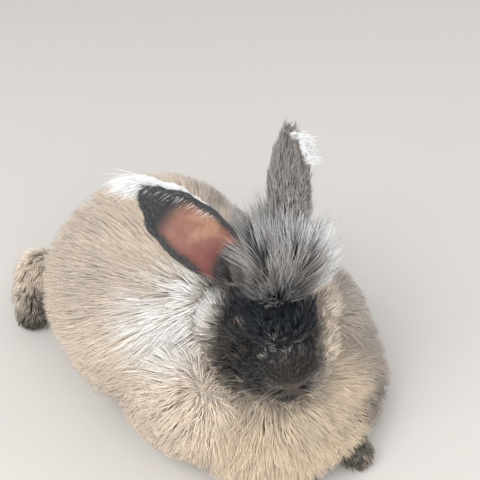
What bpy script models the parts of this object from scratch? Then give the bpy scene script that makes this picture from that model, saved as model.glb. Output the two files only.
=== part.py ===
"""An angora rabbit at rest on the floor: forepaws under its chest, one hind foot out at its right.

Metres, +Z up, floor at Z = 0. The rabbit faces -Y and its right side is at -X. The origin is in the
flat on which its belly rests. Each mass of the body is an ellipsoid, given by its centre and its
radii out to the tips of the coat. A woolly node is a smooth core half way down its coat, with
tapered locks that grow out of it, lie along the body away from the face, and end at those tips.
"""

import math
import random

import bmesh
import bpy
import numpy as np
from mathutils import Matrix, Vector
from mathutils.bvhtree import BVHTree

# Gap kept between nodes that touch, how far off its edge a point may be and still be idle, and the
# shortest edge that is kept
GAP = 0.0004
STRAIGHT = 0.0001
SPECK = 0.00001

# The head's own frame: X to the rabbit's left, -Y along the muzzle, Z up through the crown
HEAD_CENTRE = Vector((0.022, -0.0485, 0.112))
HEAD_YAW = math.radians(-31)
HEAD_PITCH = math.radians(11.5)
HEAD_ROLL = math.radians(1.5)
HEAD_SCALE = 1.04
HEAD = (
    Matrix.Translation(HEAD_CENTRE)
    @ Matrix.Rotation(HEAD_YAW, 4, "Z")
    @ Matrix.Rotation(HEAD_PITCH, 4, "X")
    @ Matrix.Rotation(HEAD_ROLL, 4, "Y")
    @ Matrix.Scale(HEAD_SCALE, 4)
)
HEAD_FUR = 0.006

SKULL_HALF_WIDTH = 0.025
EYE_RADIUS = 0.0088
EYE_CENTRE = Vector((0.0222, -0.007, 0.008))
EYE_AXIS = Vector((0.90, -0.34, 0.26)).normalized()
LID_THICKNESS = 0.0016
NOSE_TIP = Vector((0, -0.0570, -0.0060))

EAR_WALL = 0.0030
EAR_RIGHT_BASE = HEAD @ Vector((-0.021, 0.024, 0.031))
EAR_RIGHT_TIP = Vector((-0.0378, 0.0208, 0.2315))
EAR_RIGHT_OPENING = Vector((-0.62, -0.55, 0.50))
EAR_LEFT_BASE = HEAD @ Vector((0.010, 0.029, 0.030))
EAR_LEFT_TIP = Vector((0.0710, -0.0150, 0.2450))
EAR_LEFT_OPENING = Vector((0.99, -0.09, 0.00))
# Which way each ear's tassel falls, and its locks: how far up the ear, where across it, how long
EAR_RIGHT_FALL = Vector((-0.72, 0.66, -0.20)).normalized()
EAR_LEFT_FALL = Vector((0.62, -0.66, -0.42)).normalized()
EAR_TASSEL = [(0.96, 0.0, 0.038), (0.88, 0.75, 0.034), (0.88, -0.75, 0.034), (0.76, 0.9, 0.028)]
EAR_BOW = 0.004
# Stops along the ear, from 0 at its root to 1 at its tip: width laid flat, and half angle of its roll
EAR_WIDTH = [(0, 0.044), (0.2, 0.048), (0.48, 0.051), (0.75, 0.043), (0.92, 0.023), (1, 0.008)]
EAR_ROLL = [(0, 140), (0.18, 90), (0.35, 58), (0.6, 46), (1, 46)]

TRUNK_MASSES = [
    ((0.004, 0.068, 0.083), (0.098, 0.089, 0.089)),
    ((0.006, 0.042, 0.078), (0.103, 0.071, 0.083)),
    ((0.014, -0.006, 0.048), (0.100, 0.080, 0.054)),
    ((0.024, -0.066, 0.037), (0.100, 0.067, 0.042)),
    ((0.088, -0.026, 0.060), (0.040, 0.068, 0.048)),
    ((-0.056, -0.018, 0.052), (0.039, 0.062, 0.047)),
    ((0.026, -0.074, 0.027), (0.092, 0.070, 0.033)),
]
# The belly and chest proper, which carry the trunk's core down to the floor
BELLY_MASSES = [
    ((0.008, 0.060, 0.040), (0.070, 0.076, 0.045)),
    ((0.018, -0.050, 0.026), (0.072, 0.060, 0.031)),
    ((0.010, 0.006, 0.030), (0.068, 0.066, 0.036)),
]
NECK_MASSES = [
    ((0.020, 0.016, 0.100), (0.062, 0.046, 0.052)),
    ((0.026, -0.006, 0.080), (0.066, 0.040, 0.044)),
]
SKULL_MASSES = [
    ((0, 0.012, 0.006), (SKULL_HALF_WIDTH, 0.032, 0.024)),
    ((0, -0.008, 0.012), (0.022, 0.024, 0.016)),
    ((0, -0.032, -0.008), (0.018, 0.024, 0.017)),
    ((0, -0.035, -0.031), (0.015, 0.020, 0.012)),
    ((0, -0.047, -0.006), (0.007, 0.006, 0.006)),
    ((0, 0.018, 0.024), (0.022, 0.020, 0.018)),
]
FORELOCK_MASSES = [((0.002, 0.016, 0.036), (0.036, 0.032, 0.038)), ((0.004, -0.006, 0.026), (0.028, 0.026, 0.024))]
FORELOCK_CORE = [((0.002, 0.014, 0.030), (0.026, 0.023, 0.026))]
CHEEK_MASSES = [
    ((0.014, -0.038, -0.019), (0.014, 0.016, 0.014)),
    ((0.024, -0.010, -0.024), (0.020, 0.026, 0.016)),
    ((0.020, 0.008, -0.014), (0.018, 0.026, 0.022)),
    ((0.030, 0.014, -0.014), (0.017, 0.022, 0.023)),
]
TAIL_MASSES = [
    ((0.010, 0.158, 0.040), (0.024, 0.020, 0.030)),
    ((0.010, 0.168, 0.052), (0.018, 0.014, 0.022)),
]
# Limbs, as stops along their length
FORELEG_LEFT = [
    ((0.050, -0.080, 0.026), (0.018, 0.018, 0.022)),
    ((0.038, -0.118, 0.016), (0.017, 0.017, 0.016)),
    ((0.030, -0.136, 0.013), (0.018, 0.017, 0.014)),
]
FORELEG_RIGHT = [
    ((-0.030, -0.070, 0.026), (0.018, 0.018, 0.022)),
    ((-0.016, -0.098, 0.016), (0.017, 0.017, 0.016)),
    ((-0.008, -0.114, 0.013), (0.018, 0.017, 0.014)),
]
HINDLEG_RIGHT = [
    ((-0.012, 0.146, 0.030), (0.024, 0.024, 0.028)),
    ((-0.034, 0.190, 0.036), (0.027, 0.027, 0.030)),
    ((-0.050, 0.184, 0.027), (0.025, 0.025, 0.026)),
    ((-0.061, 0.177, 0.018), (0.020, 0.020, 0.019)),
]
HINDLEG_LEFT = [
    ((0.080, 0.100, 0.022), (0.022, 0.024, 0.024)),
    ((0.104, 0.060, 0.016), (0.018, 0.022, 0.017)),
    ((0.112, 0.034, 0.013), (0.018, 0.018, 0.014)),
]

# Depth of the wool on the trunk, from flesh to tips, and how far under the tips a core lies
TRUNK_COAT = 0.050
TRUNK_CORE = TRUNK_COAT / 2
RUFF_CORE = 0.020
TAIL_CORE = 0.007
LEG_CORE = 0.004
# A lock from root to tip: where its rings are, how far each lies under the tips, and its width there
LOCK_STOPS = (0.0, 0.36, 0.72, 1.0)
LOCK_SUNK = (1.0, 0.44, 0.08, -0.06)
LOCK_WIDTHS = (0.62, 1.0, 0.66)
ROOT_SINK = 0.004
# Where the wool parts: it lies away from here, all over the body
PARTING = Vector((-0.010, -0.075, 0.118))
# How strongly wool hangs down on a steep flank, and the least slope of a face that carries locks
HANG = 0.35
UNDERSIDE = -0.82

WHITE_WOOL = (0.78, 0.74, 0.68)
SMOKE_FUR = (0.09, 0.09, 0.10)
DARK_EYE = (0.01, 0.008, 0.007)


def clear_scene():
    for old in list(bpy.data.objects):
        bpy.data.objects.remove(old)


def material(name, colour, roughness):
    made = bpy.data.materials.new(name)
    made.use_nodes = True
    shader = made.node_tree.nodes["Principled BSDF"]
    shader.inputs["Base Color"].default_value = (*colour, 1)
    shader.inputs["Roughness"].default_value = roughness
    return made


def select_only(*objects):
    bpy.ops.object.select_all(action="DESELECT")
    for obj in objects:
        obj.select_set(True)
    bpy.context.view_layer.objects.active = objects[0]


def apply_modifiers(obj):
    select_only(obj)
    for modifier in list(obj.modifiers):
        bpy.ops.object.modifier_apply(modifier=modifier.name)


def mirrored(masses):
    """Each mass off the midline, and its twin on the other side."""
    return [((side * c[0], c[1], c[2]), r) for c, r in masses for side in (1, -1)]


def ellipsoid(name, centre, radii, turn=None, fineness=2):
    bpy.ops.mesh.primitive_ico_sphere_add(subdivisions=fineness, radius=1)
    made = bpy.context.object
    made.name = name
    place = Matrix.Translation(centre) @ (turn or Matrix.Identity(4))
    made.data.transform(place @ Matrix.Diagonal((*radii, 1)))
    return made


def skin_over(name, masses, place=None, grow=0.0, voxel=0.004, rounds=16, triangles=1500):
    """One smooth body over all the masses, each grown by grow."""
    parts = [ellipsoid(name, Vector(c), [x + grow for x in r], fineness=4) for c, r in masses]
    select_only(*parts)
    if len(parts) > 1:
        bpy.ops.object.join()
    body = bpy.context.object
    body.name = name
    body.data.transform(place or Matrix.Identity(4))
    remesh = body.modifiers.new("skin", "REMESH")
    remesh.mode = "VOXEL"
    remesh.voxel_size = voxel
    smooth = body.modifiers.new("smooth", "SMOOTH")
    smooth.iterations = rounds
    smooth.factor = 0.5
    apply_modifiers(body)
    thin = body.modifiers.new("thin", "DECIMATE")
    thin.ratio = min(1.0, triangles / (2 * len(body.data.polygons)))
    apply_modifiers(body)
    return body


def limb(name, stops, grow=0.0, triangles=300):
    """A furred limb through its stops, filled in between them."""
    masses = [stops[-1]]
    for (c0, r0), (c1, r1) in zip(stops, stops[1:]):
        for share in (0, 0.25, 0.5, 0.75):
            masses.append((Vector(c0).lerp(Vector(c1), share), Vector(r0).lerp(Vector(r1), share)))
    return skin_over(name, masses, grow=grow, voxel=0.003, rounds=4, triangles=triangles)


def boolean(obj, other, operation):
    """Joins or cuts obj with other, which goes."""
    step = obj.modifiers.new(operation, "BOOLEAN")
    step.operation = operation
    step.solver = "MANIFOLD"
    step.object = other
    apply_modifiers(obj)
    bpy.data.objects.remove(other)


def copied(obj):
    copy = obj.copy()
    copy.data = obj.data.copy()
    bpy.context.collection.objects.link(copy)
    return copy


def grown(obj, distance=GAP):
    """A copy of obj with each face moved out by distance, as near as its points allow."""
    copy = copied(obj)
    mesh = bmesh.new()
    mesh.from_mesh(copy.data)
    bmesh.ops.triangulate(mesh, faces=mesh.faces)
    mesh.normal_update()
    moved = []
    for vertex in mesh.verts:
        normals = np.array([face.normal for face in vertex.link_faces])
        step = np.linalg.lstsq(normals, np.full(len(normals), distance), rcond=0.15)[0]
        step *= min(1, 3 * distance / max(np.linalg.norm(step), distance))
        moved.append((vertex, vertex.co + Vector(step)))
    for vertex, place in moved:
        vertex.co = place
    mesh.to_mesh(copy.data)
    mesh.free()
    return copy


def keep_largest(obj):
    """Keeps the largest closed surface of obj."""
    mesh = bmesh.new()
    mesh.from_mesh(obj.data)
    left = set(mesh.faces)
    shells = []
    while left:
        shell, edge_faces = set(), [left.pop()]
        while edge_faces:
            face = edge_faces.pop()
            shell.add(face)
            for edge in face.edges:
                for near in edge.link_faces:
                    if near in left:
                        left.remove(near)
                        edge_faces.append(near)
        shells.append(shell)
    shells.sort(key=lambda shell: sum(f.calc_area() for f in shell))
    for shell in shells[:-1]:
        bmesh.ops.delete(mesh, geom=list(shell), context="FACES")
    mesh.to_mesh(obj.data)
    mesh.free()


def split_faces(obj):
    """Drops points that only sit on a straight edge, then splits every face into triangles."""
    mesh = bmesh.new()
    mesh.from_mesh(obj.data)
    idle = []
    for vertex in mesh.verts:
        if len(vertex.link_edges) == 2:
            a, b = (edge.other_vert(vertex).co for edge in vertex.link_edges)
            if (vertex.co - a).cross((b - a).normalized()).length < STRAIGHT:
                idle.append(vertex)
    bmesh.ops.dissolve_verts(mesh, verts=idle)
    bmesh.ops.triangulate(mesh, faces=mesh.faces, ngon_method="EAR_CLIP")
    bmesh.ops.dissolve_degenerate(mesh, dist=SPECK, edges=mesh.edges)
    mesh.to_mesh(obj.data)
    mesh.free()


def cut_clear(obj, *rooms):
    """Cuts obj back out of each room, a grown copy of a neighbour, and leaves obj sound."""
    for room in rooms:
        boolean(obj, copied(room), "DIFFERENCE")
    keep_largest(obj)
    split_faces(obj)


def flatten_base(obj):
    """Cuts away all that is below the floor."""
    bpy.ops.mesh.primitive_cube_add(size=1)
    floor = bpy.context.object
    floor.data.transform(Matrix.Translation((0, 0, -0.5)))
    boolean(obj, floor, "DIFFERENCE")


def spread_points(core, count, wanted, seed):
    """Evenly spread (place, normal) pairs on the faces of core where wanted(place, normal) holds."""
    draw = random.Random(seed)
    mesh = core.data
    mesh.calc_loop_triangles()
    corners = [[mesh.vertices[i].co for i in t.vertices] for t in mesh.loop_triangles]
    normals = [t.normal.copy() for t in mesh.loop_triangles]
    picks = draw.choices(range(len(corners)), [t.area for t in mesh.loop_triangles], k=count * 40)
    candidates = []
    for pick in picks:
        a, b = sorted((draw.random(), draw.random()))
        p, q, r = corners[pick]
        place = p * a + q * (b - a) + r * (1 - b)
        if wanted(place, normals[pick]):
            candidates.append((place, normals[pick]))
    chosen = [candidates[0]]
    nearest = [1.0] * len(candidates)
    while len(chosen) < min(count, len(candidates)):
        last = chosen[-1][0]
        nearest = [min(d, (c[0] - last).length) for d, c in zip(nearest, candidates)]
        chosen.append(candidates[nearest.index(max(nearest))])
    return chosen


def lie_of_wool(place, normal):
    """The way the wool lies at place: away from the face, and down where the flank is steep."""
    away = (place - PARTING).normalized() - Vector((0, 0, HANG * (1 - abs(normal.z))))
    return (away - normal * away.dot(normal)).normalized()


def lock_mesh(name, points, ups, width, thickness):
    """A closed tapered lock with a ridge on both faces, through points, its faces towards ups."""
    corners = []
    for k, (point, up, share) in enumerate(zip(points[:-1], ups, LOCK_WIDTHS)):
        along = (points[k + 1] - points[max(k - 1, 0)]).normalized()
        across = along.cross(up).normalized()
        raised = across.cross(along).normalized()
        half = width * share / 2
        deep = thickness * (0.6 + 0.4 * share) / 2
        corners += [point - across * half, point - raised * deep, point + across * half, point + raised * deep]
    corners.append(points[-1])
    faces = [(0, 1, 2, 3)]
    rings = len(points) - 1
    for ring in range(rings - 1):
        for s in range(4):
            a, b = 4 * ring + s, 4 * ring + (s + 1) % 4
            faces += [(a, a + 4, b + 4), (a, b + 4, b)]
    last = 4 * (rings - 1)
    faces += [(last + s, len(corners) - 1, last + (s + 1) % 4) for s in range(4)]
    mesh = bpy.data.meshes.new(name)
    mesh.from_pydata(corners, [], faces)
    made = bpy.data.objects.new(name, mesh)
    shape = bmesh.new()
    shape.from_mesh(mesh)
    bmesh.ops.recalc_face_normals(shape, faces=shape.faces)
    shape.to_mesh(mesh)
    shape.free()
    return made


def coat_lock(core, outer, tip, lie, length, depth, width, thickness):
    """One lock that runs along lie to its tip on outer, up from its root in core."""
    points, ups = [], []
    for u, sunk in zip(LOCK_STOPS, LOCK_SUNK):
        place, up, _, _ = outer.find_nearest(tip - lie * length * (1 - u))
        points.append(place - up * depth * sunk)
        ups.append(up)
    root, root_up, _, _ = core.find_nearest(points[0])
    points[0] = root - root_up * ROOT_SINK
    for point in points:
        point.z = max(point.z, thickness * 0.6)
    return lock_mesh("lock", points, ups, width, thickness)


def add_locks(obj, locks):
    """Fuses the locks with obj in one union."""
    bunch = bpy.data.collections.new("locks")
    bpy.context.scene.collection.children.link(bunch)
    for lock in locks:
        bunch.objects.link(lock)
    step = obj.modifiers.new("locks", "BOOLEAN")
    step.operation = "UNION"
    step.solver = "MANIFOLD"
    step.operand_type = "COLLECTION"
    step.collection = bunch
    apply_modifiers(obj)
    for lock in locks:
        bpy.data.objects.remove(lock)
    bpy.data.collections.remove(bunch)


def surface_of(obj):
    mesh = bmesh.new()
    mesh.from_mesh(obj.data)
    tree = BVHTree.FromBMesh(mesh)
    mesh.free()
    return tree


def inside(tree, place):
    near, normal, _, _ = tree.find_nearest(place)
    return (place - near).dot(normal) < 0


def anywhere(place):
    return True


def wool_locks(core, tips, count, depth, length, width, thickness, seed, clear_of=(), lie=lie_of_wool,
               where=anywhere, lowest=0.006):
    """Fuses locks into core, their tips evenly spread on the surface tips, which goes.

    Returns the room the result takes up, GAP included, made from grown parts so that it is sound.
    """
    draw = random.Random(seed)
    inner, outer = surface_of(core), surface_of(tips)
    others = [surface_of(obj) for obj in clear_of]

    def wanted(place, normal):
        if place.z < lowest or normal.z < UNDERSIDE or not where(place):
            return False
        return not any(inside(tree, place - normal * depth * s) for tree in others for s in (0, 0.5))

    locks = []
    for place, normal in spread_points(tips, count, wanted, seed):
        heading = lie(place, normal)
        turned = Matrix.Rotation(math.radians(draw.uniform(-12, 12)), 3, normal) @ heading
        size = draw.uniform(0.88, 1.12)
        locks.append(
            coat_lock(inner, outer, place, turned, length * size, depth, width * draw.uniform(0.85, 1.15), thickness)
        )
    room = grown(core)
    add_locks(room, [grown(lock) for lock in locks])
    add_locks(core, locks)
    bpy.data.objects.remove(tips)
    return room


def stop_at(stops, u):
    """Smooth value at u between (u, value) stops."""
    for (u0, a), (u1, b) in zip(stops, stops[1:]):
        if u <= u1:
            t = (u - u0) / (u1 - u0)
            return a + (b - a) * t * t * (3 - 2 * t)
    return stops[-1][1]


def ear_frame(base, tip, opening):
    """Unit vectors along the ear, out of its hollow and across it."""
    axis = (tip - base).normalized()
    front = (opening - axis * opening.dot(axis)).normalized()
    return axis, front, axis.cross(front)


def ear_point(base, tip, opening, u, across):
    """A point on the middle of the pinna's wall: u along it, and across from edge -1 to edge 1."""
    _, front, side = ear_frame(base, tip, opening)
    roll = math.radians(stop_at(EAR_ROLL, u))
    radius = stop_at(EAR_WIDTH, u) / (2 * roll)
    middle = base.lerp(tip, u) - front * EAR_BOW * math.sin(math.pi * u)
    turn = roll * across
    return middle + radius * (side * math.sin(turn) + front * (1 - math.cos(turn)))


def tassel_lock(root, start, end, face, length, width=0.011, thickness=0.003):
    """A free lock that leaves root along start and bends to end."""
    points = [root - start * 0.004]
    for share in (0.2, 0.55, 0.9):
        points.append(points[-1] + start.lerp(end, share).normalized() * length / 3)
    return lock_mesh("tassel", points, [face] * 4, width, thickness)


def ear(name, base, tip, opening, fall, rows=11, columns=8):
    """A cupped pinna from base to tip, its hollow facing opening, its tassel falling along fall."""
    points = [
        ear_point(base, tip, opening, i / rows, 2 * j / columns - 1)
        for i in range(rows + 1)
        for j in range(columns + 1)
    ]
    width = columns + 1
    faces = []
    for i in range(rows):
        for a in range(i * width, i * width + columns):
            faces += [(a, a + 1, a + width + 1), (a, a + width + 1, a + width)]
    mesh = bpy.data.meshes.new(name)
    mesh.from_pydata(points, [], faces)
    made = bpy.data.objects.new(name, mesh)
    bpy.context.collection.objects.link(made)
    wall = made.modifiers.new("wall", "SOLIDIFY")
    wall.thickness = EAR_WALL
    wall.offset = 0
    apply_modifiers(made)
    axis, front, _ = ear_frame(base, tip, opening)
    tassel = []
    for u, across, length in EAR_TASSEL:
        root = ear_point(base, tip, opening, u, across)
        tassel.append(tassel_lock(root, (axis + fall * 0.3).normalized(), fall, front, length))
    add_locks(made, tassel)
    return made


def in_head(side, local):
    """A head-frame point, or its twin on the right for side -1, in the world."""
    return HEAD @ Vector((side * local.x, local.y, local.z))


def eye(name, side):
    return ellipsoid(name, in_head(side, EYE_CENTRE), [EYE_RADIUS] * 3, fineness=3)


def eye_turn(side):
    """Turns Z to the line on which the eye looks out, with X level."""
    out = HEAD.to_3x3() @ Vector((side * EYE_AXIS.x, EYE_AXIS.y, EYE_AXIS.z))
    return out.normalized().to_track_quat("Z", "Y").to_matrix().to_4x4()


def add_lids(head, side):
    """Lids as a thin shell round the eye, with an almond opening."""
    centre = in_head(side, EYE_CENTRE)
    turn = eye_turn(side)
    shell = EYE_RADIUS + LID_THICKNESS + GAP
    boolean(head, ellipsoid("lids", centre, [shell] * 3, fineness=3), "UNION")
    outward = turn.to_3x3() @ Vector((0, 0, 1))
    opening = ellipsoid("opening", centre + outward * 0.009, (0.0066, 0.0042, 0.011), turn)
    boolean(head, opening, "DIFFERENCE")


def tube(name, points, radius, sides=6):
    """A closed round tube through points."""
    rings = []
    for k, point in enumerate(points):
        along = (points[min(k + 1, len(points) - 1)] - points[max(k - 1, 0)]).normalized()
        turn = along.to_track_quat("Z", "Y").to_matrix()
        angles = [2 * math.pi * s / sides for s in range(sides)]
        rings += [point + turn @ Vector((radius * math.cos(a), radius * math.sin(a), 0)) for a in angles]
    last = sides * (len(points) - 1)
    faces = [tuple(reversed(range(sides))), tuple(range(last, last + sides))]
    for first in range(0, last, sides):
        for s in range(sides):
            near = first + (s + 1) % sides
            faces.append((first + s, near, near + sides, first + s + sides))
    mesh = bpy.data.meshes.new(name)
    mesh.from_pydata(rings, [], faces)
    made = bpy.data.objects.new(name, mesh)
    bpy.context.collection.objects.link(made)
    return made


def on_muzzle(head, local):
    """The point of the head's skin beyond the muzzle's middle, towards local."""
    middle = HEAD @ Vector((0, local.y * 0.7, -0.008))
    towards = (HEAD @ local) - middle
    hit, place, _, _ = head.ray_cast(middle, towards)
    return place if hit else HEAD @ local


def add_mouth_and_nose(head):
    """Grooves for the split lip and the mouth, and a slit for each nostril."""
    split = [on_muzzle(head, Vector((0, -0.060, z / 1000))) for z in (-10, -13, -16, -19, -22)]
    grooves = [tube("split", split, 0.0009)]
    for side in (1, -1):
        line = [
            on_muzzle(head, Vector((side * 0.016 * t, -0.060 + 0.026 * t, -0.022 - 0.003 * t)))
            for t in (0, 0.2, 0.4, 0.6, 0.8, 1)
        ]
        grooves.append(tube("mouth", line, 0.0009))
        turn = HEAD.to_3x3().normalized().to_4x4() @ Matrix.Rotation(side * math.radians(35), 4, "Y")
        nostril = on_muzzle(head, Vector((side * 0.0055, -0.0620, -0.0055)))
        grooves.append(ellipsoid("nostril", nostril, (0.0042, 0.0030, 0.0014), turn))
    for groove in grooves:
        boolean(head, groove, "DIFFERENCE")


def head_local(place):
    return HEAD.inverted() @ place


def on_crown(place):
    local = head_local(place)
    return local.z > 0.014 and local.y > -0.016 and abs(local.x) < 0.026


def lie_of_forelock(place, normal):
    """Up from the brow, over the crown and out to both sides."""
    local = head_local(place) - Vector((0, -0.034, 0.000))
    away = (HEAD.to_3x3() @ local).normalized()
    return (away - normal * away.dot(normal)).normalized()


def on_paw(place):
    """Out in front of the chest, or out at the side of the trunk."""
    return place.y < -0.116 or (place.x < -0.030 and place.y > 0.150) or (place.x > 0.100 and place.y > 0)


def lie_of_paw(place, normal):
    """Out from under the trunk and down."""
    away = Vector((place.x - 0.02, place.y, 0)).normalized() - Vector((0, 0, 0.5))
    return (away - normal * away.dot(normal)).normalized()


def woolly_limb(name, stops, locks):
    """A paw and shank with a few flat locks over it, and the room they take up."""
    lowered = [((c[0], c[1], c[2] - LEG_CORE), r) for c, r in stops]
    leg = limb(name, lowered, grow=-LEG_CORE, triangles=170)
    tips = limb("tips", stops)
    room = wool_locks(leg, tips, locks, LEG_CORE, 0.026, 0.020, 0.004, 9, lie=lie_of_paw, where=on_paw)
    flatten_base(leg)
    cut_clear(leg)
    return leg, room


def build():
    clear_scene()
    wool = material("wool", WHITE_WOOL, 0.9)
    smoke = material("smoke_fur", SMOKE_FUR, 0.85)
    glossy = material("eye", DARK_EYE, 0.1)

    eyes = [eye("eye_left", 1), eye("eye_right", -1)]
    ears = [
        ear("ear_right", EAR_RIGHT_BASE, EAR_RIGHT_TIP, EAR_RIGHT_OPENING, EAR_RIGHT_FALL),
        ear("ear_left", EAR_LEFT_BASE, EAR_LEFT_TIP, EAR_LEFT_OPENING, EAR_LEFT_FALL),
    ]
    head = skin_over(
        "head", SKULL_MASSES + FORELOCK_CORE + mirrored(CHEEK_MASSES), HEAD, HEAD_FUR,
        voxel=0.002, triangles=1000
    )
    add_mouth_and_nose(head)
    add_lids(head, 1)
    add_lids(head, -1)
    crown = skin_over("tips", FORELOCK_MASSES, HEAD, triangles=300)
    head_room = wool_locks(
        head, crown, 16, 0.008, 0.040, 0.026, 0.005, 3, lie=lie_of_forelock, where=on_crown
    )
    eye_rooms = [grown(ball) for ball in eyes]
    cut_clear(head, *eye_rooms)
    for pinna in ears:
        cut_clear(pinna, head_room)
    ear_rooms = [grown(pinna) for pinna in ears]
    limbs = [
        woolly_limb("foreleg_left", FORELEG_LEFT, 4),
        woolly_limb("foreleg_right", FORELEG_RIGHT, 4),
        woolly_limb("hindleg_left", HINDLEG_LEFT, 3),
        woolly_limb("hindleg_right", HINDLEG_RIGHT, 6),
    ]
    tail = skin_over("tail", TAIL_MASSES, grow=-TAIL_CORE, voxel=0.003, triangles=140)
    tips = skin_over("tips", TAIL_MASSES, voxel=0.003, triangles=200)
    legs = [leg for leg, room in limbs]
    leg_rooms = [room for leg, room in limbs]
    tail_room = wool_locks(tail, tips, 7, TAIL_CORE, 0.030, 0.020, 0.005, 4)
    cut_clear(tail, *leg_rooms)
    neck = skin_over("neck", NECK_MASSES, grow=-RUFF_CORE, triangles=300)
    tips = skin_over("tips", NECK_MASSES, triangles=600)
    neck_room = wool_locks(neck, tips, 18, RUFF_CORE, 0.046, 0.030, 0.006, 5, clear_of=(head, *ears))
    cut_clear(neck, head_room, *ear_rooms)
    inner = [(c, [x - TRUNK_CORE for x in r]) for c, r in TRUNK_MASSES]
    torso = skin_over("torso", inner + BELLY_MASSES, triangles=600)
    tips = skin_over("tips", TRUNK_MASSES, triangles=1500)
    torso_room = wool_locks(
        torso, tips, 80, TRUNK_CORE, 0.062, 0.040, 0.009, 7, clear_of=(head, neck, tail, *ears)
    )
    flatten_base(torso)
    cut_clear(torso, head_room, neck_room, tail_room, *ear_rooms, *leg_rooms)
    for room in (head_room, neck_room, tail_room, torso_room, *eye_rooms, *ear_rooms, *leg_rooms):
        bpy.data.objects.remove(room)

    for node in (torso, neck, head, tail, *ears, *legs, *eyes):
        node.data.materials.clear()
        node.data.materials.append(wool)
    for node in (head, tail, *ears, *legs):
        node.data.materials[0] = smoke
    for node in eyes:
        node.data.materials[0] = glossy


build()
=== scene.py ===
"""An angora rabbit at rest, life size: one skin, and over it a coat of thin tufts.

Metres, +Z up, floor at Z = 0. The rabbit faces -Y and its right side is at -X. Each mass of the body is
an ellipsoid, given by its centre and its radii. Those of trunk, neck, legs and tail reach out to the
tips of the coat, and the skin lies under these by the depth of the coat. Those of the head reach to
just under its skin. Every tuft starts in the skin and follows the coat's lie.
"""

import math

import bmesh
import bpy
import numpy as np
from mathutils import Matrix, Vector
from mathutils.bvhtree import BVHTree
from mathutils.geometry import barycentric_transform
from mathutils.kdtree import KDTree


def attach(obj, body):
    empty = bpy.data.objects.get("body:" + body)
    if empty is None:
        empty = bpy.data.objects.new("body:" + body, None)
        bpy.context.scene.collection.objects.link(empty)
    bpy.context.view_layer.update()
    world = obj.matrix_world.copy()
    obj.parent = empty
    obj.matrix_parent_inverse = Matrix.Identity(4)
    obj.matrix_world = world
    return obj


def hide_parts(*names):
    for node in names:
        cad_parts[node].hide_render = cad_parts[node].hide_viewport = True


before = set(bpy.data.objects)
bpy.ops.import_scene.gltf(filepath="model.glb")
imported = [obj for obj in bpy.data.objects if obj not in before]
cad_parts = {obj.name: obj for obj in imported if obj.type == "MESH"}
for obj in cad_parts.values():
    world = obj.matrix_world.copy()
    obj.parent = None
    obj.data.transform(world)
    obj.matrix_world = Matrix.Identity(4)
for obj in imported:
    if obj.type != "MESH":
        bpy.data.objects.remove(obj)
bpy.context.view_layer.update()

# The head's own frame: X to the rabbit's left, -Y along the muzzle, Z up through the crown
HEAD_CENTRE = Vector((0.022, -0.0485, 0.112))
HEAD_SCALE = 1.04
HEAD_TURN = (
    Matrix.Rotation(math.radians(-31), 4, "Z")
    @ Matrix.Rotation(math.radians(11.5), 4, "X")
    @ Matrix.Rotation(math.radians(1.5), 4, "Y")
)
HEAD = Matrix.Translation(HEAD_CENTRE) @ HEAD_TURN @ Matrix.Scale(HEAD_SCALE, 4)

EYE_RADIUS = 0.0088
EYE_CENTRE = Vector((0.0222, -0.007, 0.008))
EYE_AXIS = Vector((0.90, -0.34, 0.26)).normalized()
EYE_GAP = 0.0002
LID = 0.0014
LID_OPENING = (0.0066, 0.0036, 0.010)
LID_OPENING_OUT = 0.009
LID_TILT = math.radians(14)
NOSE = Vector((0, -0.0600, -0.0120))

EAR_WALL = 0.0022
# Each ear as the middle of its root, its tip, and the way that its hollow faces
EAR_RIGHT = (
    HEAD @ Vector((-0.021, 0.024, 0.031)),
    Vector((-0.0378, 0.0208, 0.2315)),
    Vector((-0.62, -0.55, 0.50)),
)
EAR_LEFT = (
    HEAD @ Vector((0.010, 0.029, 0.030)),
    Vector((0.0710, -0.0150, 0.2450)),
    Vector((0.99, -0.09, 0.00)),
)
# The way the long hair at an ear's tip falls
EAR_RIGHT_FALL = Vector((-0.62, 0.56, -0.55)).normalized()
EAR_LEFT_FALL = Vector((0.62, -0.66, -0.42)).normalized()
EAR_BOW = 0.004
EAR_RIDGE = 0.0007
EAR_RIDGE_AT = 0.42
# Stops along the ear, from 0 at its root to 1 at its tip: width laid flat, and half angle of its roll
EAR_WIDTH = [(0, 0.044), (0.2, 0.048), (0.48, 0.051), (0.75, 0.043), (0.92, 0.023), (1, 0.008)]
EAR_ROLL = [(0, 140), (0.18, 90), (0.35, 58), (0.6, 46), (1, 46)]

TRUNK_MASSES = [
    ((0.004, 0.068, 0.083), (0.098, 0.089, 0.089)),
    ((0.006, 0.042, 0.078), (0.103, 0.071, 0.083)),
    ((0.014, -0.006, 0.048), (0.100, 0.080, 0.054)),
    ((0.024, -0.066, 0.037), (0.100, 0.067, 0.042)),
    ((0.088, -0.026, 0.060), (0.040, 0.068, 0.048)),
    ((-0.056, -0.018, 0.052), (0.039, 0.062, 0.047)),
    ((0.026, -0.074, 0.027), (0.092, 0.070, 0.033)),
]
BELLY_MASSES = [
    ((0.008, 0.060, 0.040), (0.070, 0.076, 0.045)),
    ((0.018, -0.050, 0.026), (0.072, 0.060, 0.031)),
    ((0.010, 0.006, 0.030), (0.068, 0.066, 0.036)),
]
NECK_MASSES = [
    ((0.020, 0.016, 0.100), (0.062, 0.046, 0.052)),
    ((0.026, -0.006, 0.080), (0.066, 0.040, 0.044)),
]
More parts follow.
